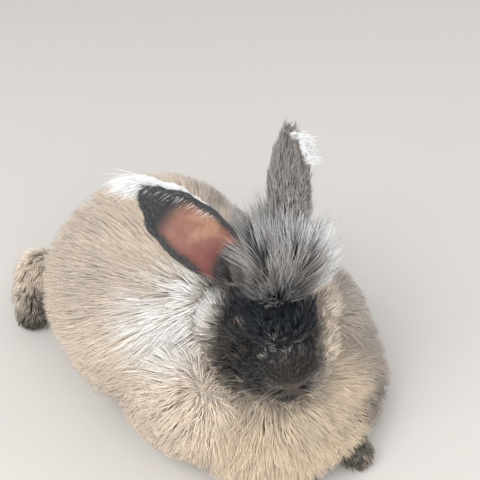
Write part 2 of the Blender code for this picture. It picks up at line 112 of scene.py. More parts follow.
SKULL_MASSES = [
    ((0, 0.012, 0.006), (0.025, 0.032, 0.024)),
    ((0, -0.008, 0.012), (0.022, 0.024, 0.016)),
    ((0, -0.032, -0.008), (0.018, 0.024, 0.017)),
    ((0, -0.035, -0.031), (0.015, 0.020, 0.012)),
    ((0, 0.018, 0.024), (0.022, 0.020, 0.018)),
    ((0.002, 0.014, 0.030), (0.024, 0.021, 0.023)),
]
CHEEK_MASSES = [
    ((0.014, -0.038, -0.019), (0.014, 0.016, 0.014)),
    ((0.024, -0.010, -0.024), (0.020, 0.026, 0.016)),
    ((0.020, 0.008, -0.014), (0.018, 0.026, 0.022)),
    ((0.030, 0.014, -0.014), (0.017, 0.022, 0.023)),
]
# Small forms of the muzzle: nose leather, wings of the nostrils, upper lip, chin
MUZZLE_FORMS = [
    ((0, -0.0512, -0.0100), (0.0085, 0.0066, 0.0076)),
    ((0.0098, -0.0500, -0.0150), (0.0060, 0.0066, 0.0056)),
    ((0.0078, -0.0475, -0.0235), (0.0090, 0.0086, 0.0072)),
    ((0, -0.0480, -0.0380), (0.0125, 0.0100, 0.0070)),
]
TAIL_MASSES = [
    ((0.010, 0.158, 0.040), (0.024, 0.020, 0.030)),
    ((0.010, 0.168, 0.052), (0.018, 0.014, 0.022)),
]
# Limbs, as stops along their length
LIMBS = {
    "foreleg_left": [
        ((0.050, -0.080, 0.026), (0.018, 0.018, 0.022)),
        ((0.038, -0.118, 0.016), (0.017, 0.017, 0.016)),
        ((0.030, -0.136, 0.013), (0.018, 0.017, 0.014)),
    ],
    "foreleg_right": [
        ((-0.030, -0.070, 0.026), (0.018, 0.018, 0.022)),
        ((-0.016, -0.098, 0.016), (0.017, 0.017, 0.016)),
        ((-0.008, -0.114, 0.013), (0.018, 0.017, 0.014)),
    ],
    "hindleg_right": [
        ((-0.012, 0.146, 0.030), (0.024, 0.024, 0.028)),
        ((-0.034, 0.190, 0.036), (0.027, 0.027, 0.030)),
        ((-0.050, 0.184, 0.027), (0.025, 0.025, 0.026)),
        ((-0.061, 0.177, 0.018), (0.020, 0.020, 0.019)),
    ],
    "hindleg_left": [
        ((0.080, 0.100, 0.022), (0.022, 0.024, 0.024)),
        ((0.104, 0.060, 0.016), (0.018, 0.022, 0.017)),
        ((0.112, 0.034, 0.013), (0.018, 0.018, 0.014)),
    ],
}

# How deep the skin lies under the tips of the coat, but never deeper than this share of a mass's radius
SMALL_MASS_SHARE = 0.36
WOOL_DEPTH = 0.024
NECK_DEPTH = 0.022
LIMB_DEPTH = 0.006
TAIL_DEPTH = 0.009
BELLY_DEPTH = 0.004
# How far the skin of the head lies over its masses, and the short fur over the skin
HEAD_SKIN_GROWTH = 0.0018
FACE_FUR_DEPTH = 0.002

# Where the wool parts: it lies away from here, all over the body
PARTING = np.array((-0.010, -0.075, 0.118))
HANG = 0.35
# Where the wool stays short over the left forepaw and the right hind foot
PAW_GAP = (0.034, -0.122, 0.026)
FOOT_GAP = (-0.050, 0.160, 0.050)
# The skin's underside, and the height under which hair bends to lie on the floor
FLOOR_CLEARANCE = 0.0008
FLOOR_BEND = FLOOR_CLEARANCE + 0.004

# sRGB colours of the coat, skin and eyes
CREAM_TIP = "#E6D6C3"
WHITE_TIP_AND_HIGHLIGHT = "#FAFBFA"
# The wool's roots are only a little darker than its tips, and are painted lighter still: painted light in
# the shade between tufts
GREY_ROOT = "#E0D6CA"
BEIGE_ROOT_AND_FLOOR_LIGHT = "#D6C2A6"
WARM_TIP_AND_FLOOR_LIGHT = "#E4D2B8"
SMOKE_AND_SHADE_TIP = "#A59D98"
SOOT = "#5E564F"
FACE_ROOT = "#1C1D20"
FACE_TIP = "#414144"
BROW_ROOT = "#11151A"
BROW_TIP = "#272C32"
MUZZLE_ROOT = "#201D1A"
MUZZLE_TIP = "#433E39"
BRIDGE_TIP = "#A7A198"
CHEEK_ROOT = "#2A2826"
CHEEK_TIP = "#413E3B"
FORELOCK_ROOT = "#3C3C3D"
FORELOCK_TIP = "#C0BFBE"
FORELOCK_BROWN = "#544B43"
EAR_RIM = "#303234"
EAR_RIM_TIP = "#6A6C6D"
EAR_PINK = "#93695C"
EAR_AMBER_HIGHLIGHT = "#A8826C"
EAR_ROSE = "#7A4642"
EAR_BACK_ROOT = "#77716C"
EAR_BACK_TIP = "#A29C98"
TASSEL_ROOT = "#C9CCCC"
TASSEL_WHITE = "#F4F6F6"
PAW_DARK = "#413F3E"
PAW_TIP = "#8C837B"
NOSE_LEATHER = "#3E3733"
NOSTRIL_SHADE = "#14100F"
LIP_PALE = "#DCCFC0"
LIP_BROWN_PAINTED_LIGHTER = "#948A7F"
LID_PALE = "#766E66"
EYE_WHITE = "#8C8580"
IRIS = "#2C1D14"
IRIS_LIGHT = "#4E3423"
IRIS_EDGE = "#120D0B"
PUPIL = "#050505"
WHISKER = "#A8A299"
HORN_ROOT = "#2E2824"
HORN_TIP = "#6E6052"


def linear(hex_colour):
    """An sRGB hex value as linear red, green and blue."""
    channels = [int(hex_colour[i : i + 2], 16) / 255 for i in (1, 3, 5)]
    return np.array([c / 12.92 if c <= 0.04045 else ((c + 0.055) / 1.055) ** 2.4 for c in channels])


def select_only(*objects):
    bpy.ops.object.select_all(action="DESELECT")
    for obj in objects:
        obj.select_set(True)
    bpy.context.view_layer.objects.active = objects[0]


def copy_of(obj):
    """A copy of obj with a mesh of its own."""
    made = obj.copy()
    made.data = obj.data.copy()
    bpy.context.collection.objects.link(made)
    return made


def shade_smooth(obj):
    obj.data.polygons.foreach_set("use_smooth", [True] * len(obj.data.polygons))


def apply_modifiers(obj):
    select_only(obj)
    for step in [step.name for step in obj.modifiers]:
        bpy.ops.object.modifier_apply(modifier=step)


def boolean_all(obj, others, operation):
    """Joins or cuts obj with all the others in one step, and they go."""
    bunch = bpy.data.collections.new(operation)
    bpy.context.scene.collection.children.link(bunch)
    for other in others:
        bunch.objects.link(other)
    step = obj.modifiers.new(operation, "BOOLEAN")
    step.operation = operation
    step.solver = "MANIFOLD"
    step.operand_type = "COLLECTION"
    step.collection = bunch
    apply_modifiers(obj)
    for other in others:
        bpy.data.objects.remove(other)
    bpy.data.collections.remove(bunch)


def ellipsoid(name, centre, radii, turn=None, fineness=4):
    bpy.ops.mesh.primitive_ico_sphere_add(subdivisions=fineness, radius=1)
    made = bpy.context.object
    made.name = name
    place = Matrix.Translation(centre) @ (turn or Matrix.Identity(4))
    made.data.transform(place @ Matrix.Diagonal((*radii, 1)))
    return made


def twin(point, side):
    """A head-frame point for side 1, or its twin on the right for side -1."""
    return (side * point[0], point[1], point[2])


def mirrored(masses):
    """The masses and their twins."""
    return masses + [(twin(centre, -1), radii) for centre, radii in masses]


def grown(masses, growth):
    return [(centre, [x + growth for x in radii]) for centre, radii in masses]


HEAD_SKIN_MASSES = grown(SKULL_MASSES + mirrored(CHEEK_MASSES), HEAD_SKIN_GROWTH)
FACE_OUTLINE = grown(HEAD_SKIN_MASSES, FACE_FUR_DEPTH)


def skin_over(name, masses, place=None, voxel=0.003, rounds=16):
    """One smooth body over all the masses."""
    parts = [ellipsoid(name, Vector(c), r) for c, r in masses]
    select_only(*parts)
    if len(parts) > 1:
        bpy.ops.object.join()
    body = bpy.context.object
    body.name = name
    body.data.transform(place or Matrix.Identity(4))
    remesh = body.modifiers.new("skin", "REMESH")
    remesh.mode = "VOXEL"
    remesh.voxel_size = voxel
    smooth = body.modifiers.new("smooth", "SMOOTH")
    smooth.iterations = rounds
    smooth.factor = 0.5
    apply_modifiers(body)
    return body


def thinner(masses, depth):
    """The masses less the depth of the coat, or less about a third of a small one."""
    return [(c, [x - min(depth, SMALL_MASS_SHARE * min(r)) for x in r]) for c, r in masses]


def between(stops):
    """Masses that fill a limb in between its stops."""
    masses = [stops[-1]]
    for (c0, r0), (c1, r1) in zip(stops, stops[1:]):
        for share in (0, 0.25, 0.5, 0.75):
            centre = Vector(c0).lerp(Vector(c1), share)
            masses.append((centre, Vector(r0).lerp(Vector(r1), share)))
    return masses


def stop_at(stops, u):
    """Smooth value at u between (u, value) stops."""
    for (u0, a), (u1, b) in zip(stops, stops[1:]):
        if u <= u1:
            t = (u - u0) / (u1 - u0)
            return a + (b - a) * t * t * (3 - 2 * t)
    return stops[-1][1]


def ear_frame(base, tip, opening):
    """Unit vectors along the ear, out of its hollow and across it."""
    axis = (tip - base).normalized()
    front = (opening - axis * opening.dot(axis)).normalized()
    return axis, front, axis.cross(front)


def ear_point(ear, u, across, off=0.0):
    """A point on the pinna's wall, u along it and across from edge -1 to 1, and off to its back."""
    base, tip, _ = ear
    _, front, side = ear_frame(*ear)
    roll = math.radians(stop_at(EAR_ROLL, u))
    radius = stop_at(EAR_WIDTH, u) / (2 * roll)
    middle = base.lerp(tip, u) - front * EAR_BOW * math.sin(math.pi * u)
    turn = roll * across
    outward = side * math.sin(turn) - front * math.cos(turn)
    return middle + front * radius + outward * (radius + off)


def pinna(name, ear, rows=44, columns=26):
    """A cupped shell of even thickness, with two soft ridges in its hollow."""
    grid = []
    for i in range(rows + 1):
        u = i / rows
        for j in range(columns + 1):
            across = 2 * j / columns - 1
            ridge = EAR_RIDGE * math.exp(-(((abs(across) - EAR_RIDGE_AT) / 0.13) ** 2))
            grid.append(ear_point(ear, u, across, -ridge * math.sin(math.pi * u) ** 0.5))
    width = columns + 1
    faces = []
    for i in range(rows):
        for a in range(i * width, i * width + columns):
            faces += [(a, a + 1, a + width + 1), (a, a + width + 1, a + width)]
    mesh = bpy.data.meshes.new(name)
    mesh.from_pydata(grid, [], faces)
    made = bpy.data.objects.new(name, mesh)
    bpy.context.collection.objects.link(made)
    wall = made.modifiers.new("wall", "SOLIDIFY")
    wall.thickness = EAR_WALL
    wall.offset = 0
    apply_modifiers(made)
    return made


def in_head(side, local):
    """A head-frame point, or its twin on the right for side -1, in the world."""
    return HEAD @ Vector(twin(local, side))


def eye_turn(side):
    """Turns Z to the line on which the eye looks out, with X level."""
    out = HEAD_TURN.to_3x3() @ Vector(twin(EYE_AXIS, side))
    return out.to_track_quat("Z", "Y").to_matrix().to_4x4()


def add_lids(head):
    """Lids as a thin shell round each eye, with a narrow almond opening."""
    shells, hollows = [], []
    for side in (1, -1):
        centre = in_head(side, EYE_CENTRE)
        turn = eye_turn(side)
        outward = turn.to_3x3() @ Vector((0, 0, 1))
        tilted = turn @ Matrix.Rotation(side * LID_TILT, 4, "Z")
        shells.append(ellipsoid("lids", centre, [EYE_RADIUS + LID] * 3))
        hollows.append(ellipsoid("socket", centre, [EYE_RADIUS + EYE_GAP] * 3))
        hollows.append(ellipsoid("opening", centre + outward * LID_OPENING_OUT, LID_OPENING, tilted))
    boolean_all(head, shells, "UNION")
    boolean_all(head, hollows, "DIFFERENCE")


MUZZLE_MIDDLE = HEAD @ Vector((0, -0.036, -0.010))


def on_muzzle(tree, local):
    """The point of the head's skin beyond the muzzle's middle, towards a head-frame point."""
    target = HEAD @ Vector(local)
    place = tree.ray_cast(MUZZLE_MIDDLE, (target - MUZZLE_MIDDLE).normalized())[0]
    return place or target


def surface_of(obj):
    mesh = bmesh.new()
    mesh.from_mesh(obj.data)
    tree = BVHTree.FromBMesh(mesh)
    mesh.free()
    return tree


NOSTRIL_AT = (0.0108, -0.0620, -0.0146)
SPLIT_LINE = [(0, -0.062, z / 1000) for z in (-17, -19, -21, -23, -25, -28)]
MOUTH_LINE = [
    (0.017 * t, -0.060 + 0.030 * t, -0.0285 - 0.0030 * t * t)
    for t in (0, 0.2, 0.4, 0.6, 0.8, 1)
]
# Radii of the small ellipsoids that cut these lines
SPLIT_CUT = (0.0007, 0.0012, 0.0024)
MOUTH_CUT = (0.0028, 0.0012, 0.0008)
NOSTRIL_CUT = (0.0036, 0.0036, 0.0018)
NOSTRIL_TILT = math.radians(28)


def carve_muzzle(head):
    """A slit for each nostril, the split of the upper lip, and the line of the mouth."""
    tree = surface_of(head)
    cuts = []
    for a, b in zip(SPLIT_LINE, SPLIT_LINE[1:]):
        middle = (on_muzzle(tree, a) + on_muzzle(tree, b)) / 2
        cuts.append(ellipsoid("split", middle, SPLIT_CUT, HEAD_TURN, fineness=3))
    for side in (1, -1):
        for a, b in zip(MOUTH_LINE, MOUTH_LINE[1:]):
            p, q = on_muzzle(tree, twin(a, side)), on_muzzle(tree, twin(b, side))
            along = (q - p).to_track_quat("X", "Z").to_matrix().to_4x4()
            cuts.append(ellipsoid("mouth", (p + q) / 2, MOUTH_CUT, along, fineness=3))
        turn = HEAD_TURN @ Matrix.Rotation(side * NOSTRIL_TILT, 4, "Y")
        cuts.append(ellipsoid("nostril", on_muzzle(tree, twin(NOSTRIL_AT, side)), NOSTRIL_CUT, turn))
    boolean_all(head, cuts, "DIFFERENCE")


def head_skin():
    masses = HEAD_SKIN_MASSES + mirrored(MUZZLE_FORMS)
    head = skin_over("head_skin", masses, HEAD, voxel=0.0009, rounds=9)
    add_lids(head)
    carve_muzzle(head)
    return head


def largest_shell(obj):
    """Keeps the largest closed surface of obj, as triangles, and dissolves what has no size."""
    mesh = bmesh.new()
    mesh.from_mesh(obj.data)
    left = set(mesh.faces)
    shells = []
    while left:
        shell, edge_faces = [], [left.pop()]
        while edge_faces:
            face = edge_faces.pop()
            shell.append(face)
            for edge in face.edges:
                for near in edge.link_faces:
                    if near in left:
                        left.remove(near)
                        edge_faces.append(near)
        shells.append(shell)
    shells.sort(key=len)
    for shell in shells[:-1]:
        bmesh.ops.delete(mesh, geom=shell, context="FACES")
    bmesh.ops.triangulate(mesh, faces=mesh.faces)
    bmesh.ops.dissolve_degenerate(mesh, dist=0.00001, edges=mesh.edges)
    mesh.to_mesh(obj.data)
    mesh.free()


def skin_parts():
    """The flesh, part by part, before it becomes one skin."""
    trunk = thinner(TRUNK_MASSES, WOOL_DEPTH) + thinner(BELLY_MASSES, BELLY_DEPTH)
    parts = {
        "trunk": skin_over("trunk_skin", trunk + thinner(NECK_MASSES, NECK_DEPTH)),
        "head": head_skin(),
        "ear_right": pinna("ear_right_skin", EAR_RIGHT),
        "ear_left": pinna("ear_left_skin", EAR_LEFT),
        "tail": skin_over("tail_skin", thinner(TAIL_MASSES, TAIL_DEPTH), rounds=4),
    }
    for name, stops in LIMBS.items():
        lowered = [((c[0], c[1], c[2] - LIMB_DEPTH * 0.7), r) for c, r in stops]
        masses = thinner(between(lowered), LIMB_DEPTH)
        parts[name] = skin_over(name + "_skin", masses, voxel=0.002, rounds=4)
    return parts


def one_skin(parts):
    """All the flesh as one closed mesh, flat where it rests on the floor."""
    skin = copy_of(parts["trunk"])
    skin.name = "skin"
    others = [copy_of(part) for name, part in parts.items() if name != "trunk"]
    boolean_all(skin, others, "UNION")
    bpy.ops.mesh.primitive_cube_add(size=1, location=(0, 0, 0))
    floor = bpy.context.object
    floor.data.transform(Matrix.Translation((0, 0, FLOOR_CLEARANCE - 0.5)))
    boolean_all(skin, [floor], "DIFFERENCE")
    largest_shell(skin)
    shade_smooth(skin)
    return skin


# Roots tried for each square of the spacing, and size of a grid's cell in spacings. A cell keeps one root
TRIES_A_CELL = 3.2
CELL_SIZE = 1.05
CELL_PRIMES = np.array((73856093, 19349663, 83492791))


def unit(vectors):
    return vectors / np.maximum(np.linalg.norm(vectors, axis=-1, keepdims=True), 1e-9)


def smooth(t):
    t = np.clip(t, 0, 1)
    return t * t * (3 - 2 * t)


def blob(places, centre, radii, soft=0.5):
    """1 well inside an ellipsoid and 0 well outside it, with a soft edge."""
    reach = np.linalg.norm((places - np.array(centre)) / np.array(radii), axis=1)
    return smooth((1 + soft - reach) / (2 * soft))


def mix(a, b, share):
    share = np.asarray(share)[..., None]
    return a * (1 - share) + b * share


def head_local(places):
    """Places in the head's own frame."""
    turn = np.array(HEAD_TURN.to_3x3())
    return (places - np.array(HEAD_CENTRE)) @ turn / HEAD_SCALE


def one_side(local):
    """Places in the head's frame, with those on the right moved to their twins on the left."""
    return np.stack([np.abs(local[:, 0]), local[:, 1], local[:, 2]], axis=1)


def point_values(obj, name):
    """The places (co) or the outward directions (normal) of a mesh's points."""
    values = np.empty(len(obj.data.vertices) * 3)
    obj.data.vertices.foreach_get(name, values)
    return values.reshape(-1, 3)


def even_subset(places, spacing):
    """Indices of places about spacing apart: one for each cell of a grid."""
    cells = np.floor(places / spacing).astype(np.int64)
    key = np.bitwise_xor.reduce(cells * CELL_PRIMES, axis=1)
    return np.unique(key, return_index=True)[1]


def even_roots(obj, spacing, draw, wanted):
    """Places and outward directions on obj, about spacing apart, where wanted(places, outwards)."""
    mesh = obj.data
    mesh.calc_loop_triangles()
    count = len(mesh.loop_triangles)
    corners = np.empty(count * 3, np.int32)
    mesh.loop_triangles.foreach_get("vertices", corners)
    corners = corners.reshape(-1, 3)
    a, b, c = np.moveaxis(point_values(obj, "co")[corners], 1, 0)
    area = np.linalg.norm(np.cross(b - a, c - a), axis=1) / 2
    tries = int(area.sum() / spacing**2 * TRIES_A_CELL)
    picked = draw.choice(count, tries, p=area / area.sum())
    u, v = draw.random((2, tries, 1))
    over = u + v > 1
    u, v = np.where(over, 1 - u, u), np.where(over, 1 - v, v)
    w = 1 - u - v
    places = a[picked] * w + b[picked] * u + c[picked] * v
    na, nb, nc = np.moveaxis(point_values(obj, "normal")[corners[picked]], 1, 0)
    outwards = unit(na * w + nb * u + nc * v)
    first = even_subset(places, spacing * CELL_SIZE)
    places, outwards = places[first], outwards[first]
    keep = wanted(places, outwards)
    return places[keep], outwards[keep]


def inside_masses(places, masses, grow=0.0):
    within = np.zeros(len(places), bool)
    for centre, radii in masses:
        reach = (places - np.array(centre)) / (np.array(radii) + grow)
        within |= (reach**2).sum(axis=1) < 1
    return within


def depth_under(masses, places, outwards):
    """How far each place lies under the surface over all the masses, along its outward direction."""
    depth = np.zeros(len(places))
    for centre, radii in masses:
        start = (places - np.array(centre)) / np.array(radii)
        step = outwards / np.array(radii)
        a = (step**2).sum(axis=1)
        b = (start * step).sum(axis=1)
        c = (start**2).sum(axis=1) - 1
        leave = (-b + np.sqrt(np.maximum(b * b - a * c, 0))) / a
        depth = np.where(c < 0, np.maximum(depth, leave), depth)
    return depth


def hold_in(paths, masses, spare):
    """Bends what stands out past the surface over all the masses back, to the share spare of its way out."""
    flat = paths.reshape(-1, 3)
    reach = [np.linalg.norm((flat - np.array(c)) / np.array(r), axis=1) for c, r in masses]
    reach = np.stack(reach, axis=1)
    near = reach.min(axis=1)
    weight = np.exp(-14 * (reach - near[:, None]))
    centres = weight @ np.array([c for c, _ in masses]) / weight.sum(axis=1, keepdims=True)
    held = 1 + (near - 1) * spare
    share = np.where(near > 1, held / near, 1)[:, None]
    return (centres + (flat - centres) * share).reshape(paths.shape)


def push_out(paths, masses):
    """Moves points out of the masses of the head, given in its frame."""
    flat = head_local(paths.reshape(-1, 3))
    for centre, radii in masses:
        reach = (flat - np.array(centre)) / np.array(radii)
        length = np.linalg.norm(reach, axis=1)
        deep = length < 1
        edge = np.array(centre) + reach[deep] / np.maximum(length[deep, None], 1e-3) * np.array(radii)
        flat[deep] += edge - flat[deep]
    turn = np.array(HEAD_TURN.to_3x3())
    return (flat * HEAD_SCALE @ turn.T + np.array(HEAD_CENTRE)).reshape(paths.shape)


def along_skin(directions, outwards):
    flat = directions - outwards * (directions * outwards).sum(axis=1, keepdims=True)
    return unit(flat)


def turned(directions, outwards, angles):
    """Directions along the skin, each turned about its outward direction."""
    side = np.cross(outwards, directions)
    return directions * np.cos(angles)[:, None] + side * np.sin(angles)[:, None]


# Where a tuft has its rings, from its root at 0 to its tip at 1
STOPS = np.array((0, 0.36, 0.74, 1.0))
SHORT_STOPS = np.array((0, 0.55, 1.0))
# Least and greatest length of a clump and of a tuft in it, over the length asked for
CLUMP_LENGTHS = (0.88, 1.10)
TUFT_LENGTHS = (0.74, 1.10)


def tuft_paths(places, outwards, lie, length, height, draw, clump=0.006, gather=0.6, stray=12, swing=16,
               droop=0.2, wave=0.0012, sink=0.0012, stops=STOPS):
    """Points along each tuft from its sunk root to its tip, N x stops x 3.

    Tufts near one another gather towards the one at the middle of their clump, and share its turn,
    which varies by about swing degrees. Each also turns by itself, by about stray degrees.
    """
    count = len(places)
    middles = even_subset(places, clump)
    tree = KDTree(len(middles))
    for k, i in enumerate(middles):
        tree.insert(places[i], k)
    tree.balance()
    nearest = np.array([tree.find(place)[1] for place in places])
    clump_turn = draw.normal(0, math.radians(swing), len(middles))
    clump_size = draw.uniform(*CLUMP_LENGTHS, len(middles))
    own_turn = draw.normal(0, math.radians(stray), count)
    lie = turned(lie, outwards, clump_turn[nearest] + own_turn)
    length = length * clump_size[nearest] * draw.uniform(*TUFT_LENGTHS, count)
    rise = np.clip(height / np.maximum(length, 1e-6), 0.05, 0.95)[:, None]
    flat = np.sqrt(1 - rise**2)
    # A tuft leaves the skin steeply and ends flatter, with its tip drooping
    start = unit(outwards * np.minimum(rise * 1.45, 1.2) + lie * flat * 0.75)
    end = unit(outwards * rise * 0.55 + lie * flat * 1.1 + np.array((0, 0, -1.0)) * droop)
    paths = np.empty((count, len(stops), 3))
    paths[:, 0] = places - outwards * sink
    for k in range(1, len(stops)):
        share = (stops[k] + stops[k - 1]) / 2
        step = unit(start * (1 - share) + end * share)
        paths[:, k] = paths[:, k - 1] + step * (length * (stops[k] - stops[k - 1]))[:, None]
    lead = paths[np.array(middles)][nearest]
    pull = gather * stops**1.3
    paths += (lead - paths) * pull[None, :, None]
    side = np.cross(outwards, lie)
    phase = draw.uniform(0, 2 * math.pi, (count, 1))
    sway = np.sin(phase + stops[None] * 7) * wave * stops[None]
    paths += side[:, None] * sway[..., None]
    return paths


def above_floor(paths):
    """Bends whatever would pass the floor so that it lies on it."""
    height = paths[..., 2]
    bent = FLOOR_CLEARANCE + (FLOOR_BEND - FLOOR_CLEARANCE) * np.exp((height - FLOOR_BEND) / FLOOR_BEND)
    paths[..., 2] = np.where(height < FLOOR_BEND, bent, height)
    return paths


UNWRAP_FACES = 6000


class Unwrap:
    """The unwrap of a coarser copy of the skin, and the place on it of any root."""

    def __init__(self, skin):
        flat = copy_of(skin)
        thin = flat.modifiers.new("thin", "DECIMATE")
        thin.ratio = UNWRAP_FACES / len(flat.data.polygons)
        apply_modifiers(flat)
        bpy.ops.object.mode_set(mode="EDIT")
        bpy.ops.mesh.select_all(action="SELECT")
        bpy.ops.uv.smart_project(angle_limit=math.radians(66), island_margin=0.004)
        bpy.ops.object.mode_set(mode="OBJECT")
        self.tree = surface_of(flat)
        mesh = flat.data
        layer = mesh.uv_layers.active.data
        self.faces = []
        for face in mesh.polygons:
            corners = [mesh.vertices[i].co.copy() for i in face.vertices][:3]
            marks = [Vector((*layer[i].uv, 0)) for i in face.loop_indices][:3]
            self.faces.append((corners, marks))
        bpy.data.objects.remove(flat)

    def at(self, places):
        found = []
        for place in places:
            near, _, index, _ = self.tree.find_nearest(place)
            corners, marks = self.faces[index]
            mark = barycentric_transform(near, *corners, *marks)
            found.append((mark.x, mark.y))
        return np.array(found)


# Size of a tuft's patch on the unwrap, and its thickness over half its width
PATCH = 0.003
TUFT_THICKNESS = 0.8


def dress(piece, finish):
    """Gives a piece its material, body and slot."""
    piece.data.materials.clear()
    piece.data.materials.append(finish)
    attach(piece, "root")


def paint(obj, colours):
    """Gives each point of obj its colour."""
    layer = obj.data.color_attributes.new("coat", "FLOAT_COLOR", "POINT")
    opaque = np.concatenate([colours, np.ones((len(colours), 1))], axis=1)
    layer.data.foreach_set("color", opaque.reshape(-1))


def tuft_mesh(name, paths, outwards, width, colours, marks, finish, stops=STOPS):
    """A joined mesh of closed, three-sided, tapered tufts. colours is N x stops x 3."""
    count, steps = paths.shape[:2]
    rings = steps - 1
    along = unit(np.gradient(paths, axis=1))
    side = unit(np.cross(along, outwards[:, None]))
    up = np.cross(side, along)
    taper = np.interp(stops[:rings], (0, 0.28, 0.6, 0.84, 1), (0.62, 1.0, 0.86, 0.52, 0.2))
    half = (np.asarray(width)[:, None] * taper[None] / 2)[..., None]
    ring = paths[:, :rings]
    top = ring + up[:, :rings] * half * TUFT_THICKNESS
    aside = side[:, :rings] * half
    sides = np.stack([top, ring + aside, ring - aside], 2).reshape(count, rings * 3, 3)
    points = np.concatenate([sides, paths[:, -1:]], axis=1)
    faces = [(0, 2, 1)]
    for k in range(rings - 1):
        for x, y in ((0, 1), (1, 2), (2, 0)):
            a, b, c, d = 3 * k + x, 3 * k + y, 3 * k + 3 + y, 3 * k + 3 + x
            faces += [(a, b, c), (a, c, d)]
    last = 3 * (rings - 1)
    faces += [(last + x, last + y, 3 * rings) for x, y in ((0, 1), (1, 2), (2, 0))]
    faces = np.array(faces)
    each = rings * 3 + 1
    corners = (faces[None] + (np.arange(count) * each)[:, None, None]).reshape(-1)
    mesh = bpy.data.meshes.new(name)
    mesh.vertices.add(count * each)
    mesh.vertices.foreach_set("co", points.reshape(-1))
    triangles = len(corners) // 3
    mesh.loops.add(len(corners))
    mesh.loops.foreach_set("vertex_index", corners.astype(np.int32))
    mesh.polygons.add(triangles)
    mesh.polygons.foreach_set("loop_start", np.arange(0, triangles * 3, 3, dtype=np.int32))
    mesh.polygons.foreach_set("use_smooth", np.ones(triangles, bool))
    mesh.update(calc_edges=True)
    made = bpy.data.objects.new(name, mesh)
    bpy.context.collection.objects.link(made)
    shades = np.concatenate([np.repeat(colours[:, :rings], 3, axis=1), colours[:, -1:]], axis=1)
    paint(made, shades.reshape(-1, 3))
    across = np.concatenate([np.tile((0.5, 0.0, 1.0), rings), [0.5]]) - 0.5
    up_patch = np.concatenate([np.repeat(stops[:rings], 3), [1.0]]) - 0.5
    patch = np.stack([across, up_patch], axis=1) * PATCH
    spots = (marks[:, None] + patch[None]).reshape(-1, 2)
    mesh.uv_layers.new(name="OFBake").data.foreach_set("uv", spots[corners].reshape(-1))
    dress(made, finish)


def shaded(root, tip, stops, draw, spread=0.10, turn_at=0.45):
    """Colours along each tuft, from root to tip, each tuft a little lighter or darker as a whole."""
    share = smooth((stops - turn_at) / 0.5 + 0.5)[None, :, None]
    colours = root[:, None] * (1 - share) + tip[:, None] * share
    return np.clip(colours * draw.normal(1, spread, (len(root), 1, 1)), 0.002, 0.92)


def soft_noise(places, scale, seed):
    """Smooth values, mostly from -1 to 1, with features about scale across."""
    draw = np.random.default_rng(seed)
    value = np.zeros(len(places))
    for _ in range(7):
        wave = draw.normal(0, 1, 3) * 2.2 / scale
        value += np.sin(places @ wave + draw.uniform(0, 6.28))
    return value / 2.6


# Places where the wool is smoky: centre, radii, softness of the edge, and strength
SMOKY_PLACES = [
    ((-0.066, 0.052, 0.135), (0.040, 0.040, 0.030), 0.7, 0.35),
    ((-0.046, 0.084, 0.150), (0.050, 0.045, 0.030), 0.7, 0.22),
]


def wool_colours(places):
    """Root and tip colours of the long wool, by place."""
    # Warmer wool low at the front: partly its own warm tone, partly painted warm light bounced up from the
    # floor
    front = smooth((-places[:, 1] - 0.02) / 0.08) * smooth((0.10 - places[:, 2]) / 0.05)
    root = mix(linear(GREY_ROOT), linear(BEIGE_ROOT_AND_FLOOR_LIGHT), front * 0.8)
    tip = mix(linear(CREAM_TIP), linear(WARM_TIP_AND_FLOOR_LIGHT), front)
    smoke_and_shade = smooth(soft_noise(places, 0.030, 3) * 0.7 - 0.2) * 0.28
    # Painted shade: the wool greys towards the rabbit's left side, away from the key light, over its own
    # greyer tone there
    smoke_and_shade = np.maximum(smoke_and_shade, smooth((places[:, 0] - 0.035) / 0.06) * 0.85)
    for centre, radii, soft, strength in SMOKY_PLACES:
        smoke_and_shade = np.maximum(smoke_and_shade, blob(places, centre, radii, soft) * strength)
    beside_head = blob(places, (-0.022, -0.014, 0.122), (0.012, 0.010, 0.018), 0.6)
    smoke_and_shade = np.maximum(smoke_and_shade, beside_head * smooth(soft_noise(places, 0.009, 12) + 0.5) * 0.75)
    # White wool by the neck on the right: partly its own white, partly a painted highlight
    pale = blob(places, (-0.040, -0.002, 0.122), (0.050, 0.036, 0.036), 0.45)
    root, tip = mix(root, linear(CREAM_TIP), pale * 0.9), mix(tip, linear(WHITE_TIP_AND_HIGHLIGHT), pale)
    tip = mix(tip, linear(SMOKE_AND_SHADE_TIP), smoke_and_shade * (1 - pale * 0.55))
    soot = blob(head_local(places), (-0.004, -0.030, -0.034), (0.040, 0.036, 0.022), 0.40)
    soot = soot * smooth(soft_noise(places, 0.010, 31) * 0.6 + 0.75)
    root, tip = mix(root, linear(SOOT) * 0.7, soot), mix(tip, linear(SOOT), soot * 0.85)
    paw = blob(places, (0.064, -0.118, 0.022), (0.030, 0.026, 0.020), 0.5)
    banded = smooth(soft_noise(places, 0.011, 21) * 1.2 + 0.35)
    root = mix(root, linear(PAW_DARK), paw * 0.8)
    tip = mix(tip, mix(linear(PAW_TIP), linear(PAW_DARK), banded * 0.7), paw * 0.9)
    black = blob(places, (-0.001, -0.012, 0.136), (0.018, 0.014, 0.012), 0.45)
    root, tip = mix(root, linear(EAR_RIM) * 0.7, black), mix(tip, linear(EAR_RIM), black)
    return root, tip


def mask_of_face(local):
    """How far a place on the head belongs to the dark face, whose edge is soft and uneven."""
    uneven = soft_noise(local, 0.012, 17)[:, None] * 0.0022
    face = blob(local + uneven, (-0.0055, -0.018, 0.002), (0.0355, 0.050, 0.043), 0.20)
    return face * smooth((0.030 - local[:, 1]) / 0.016)


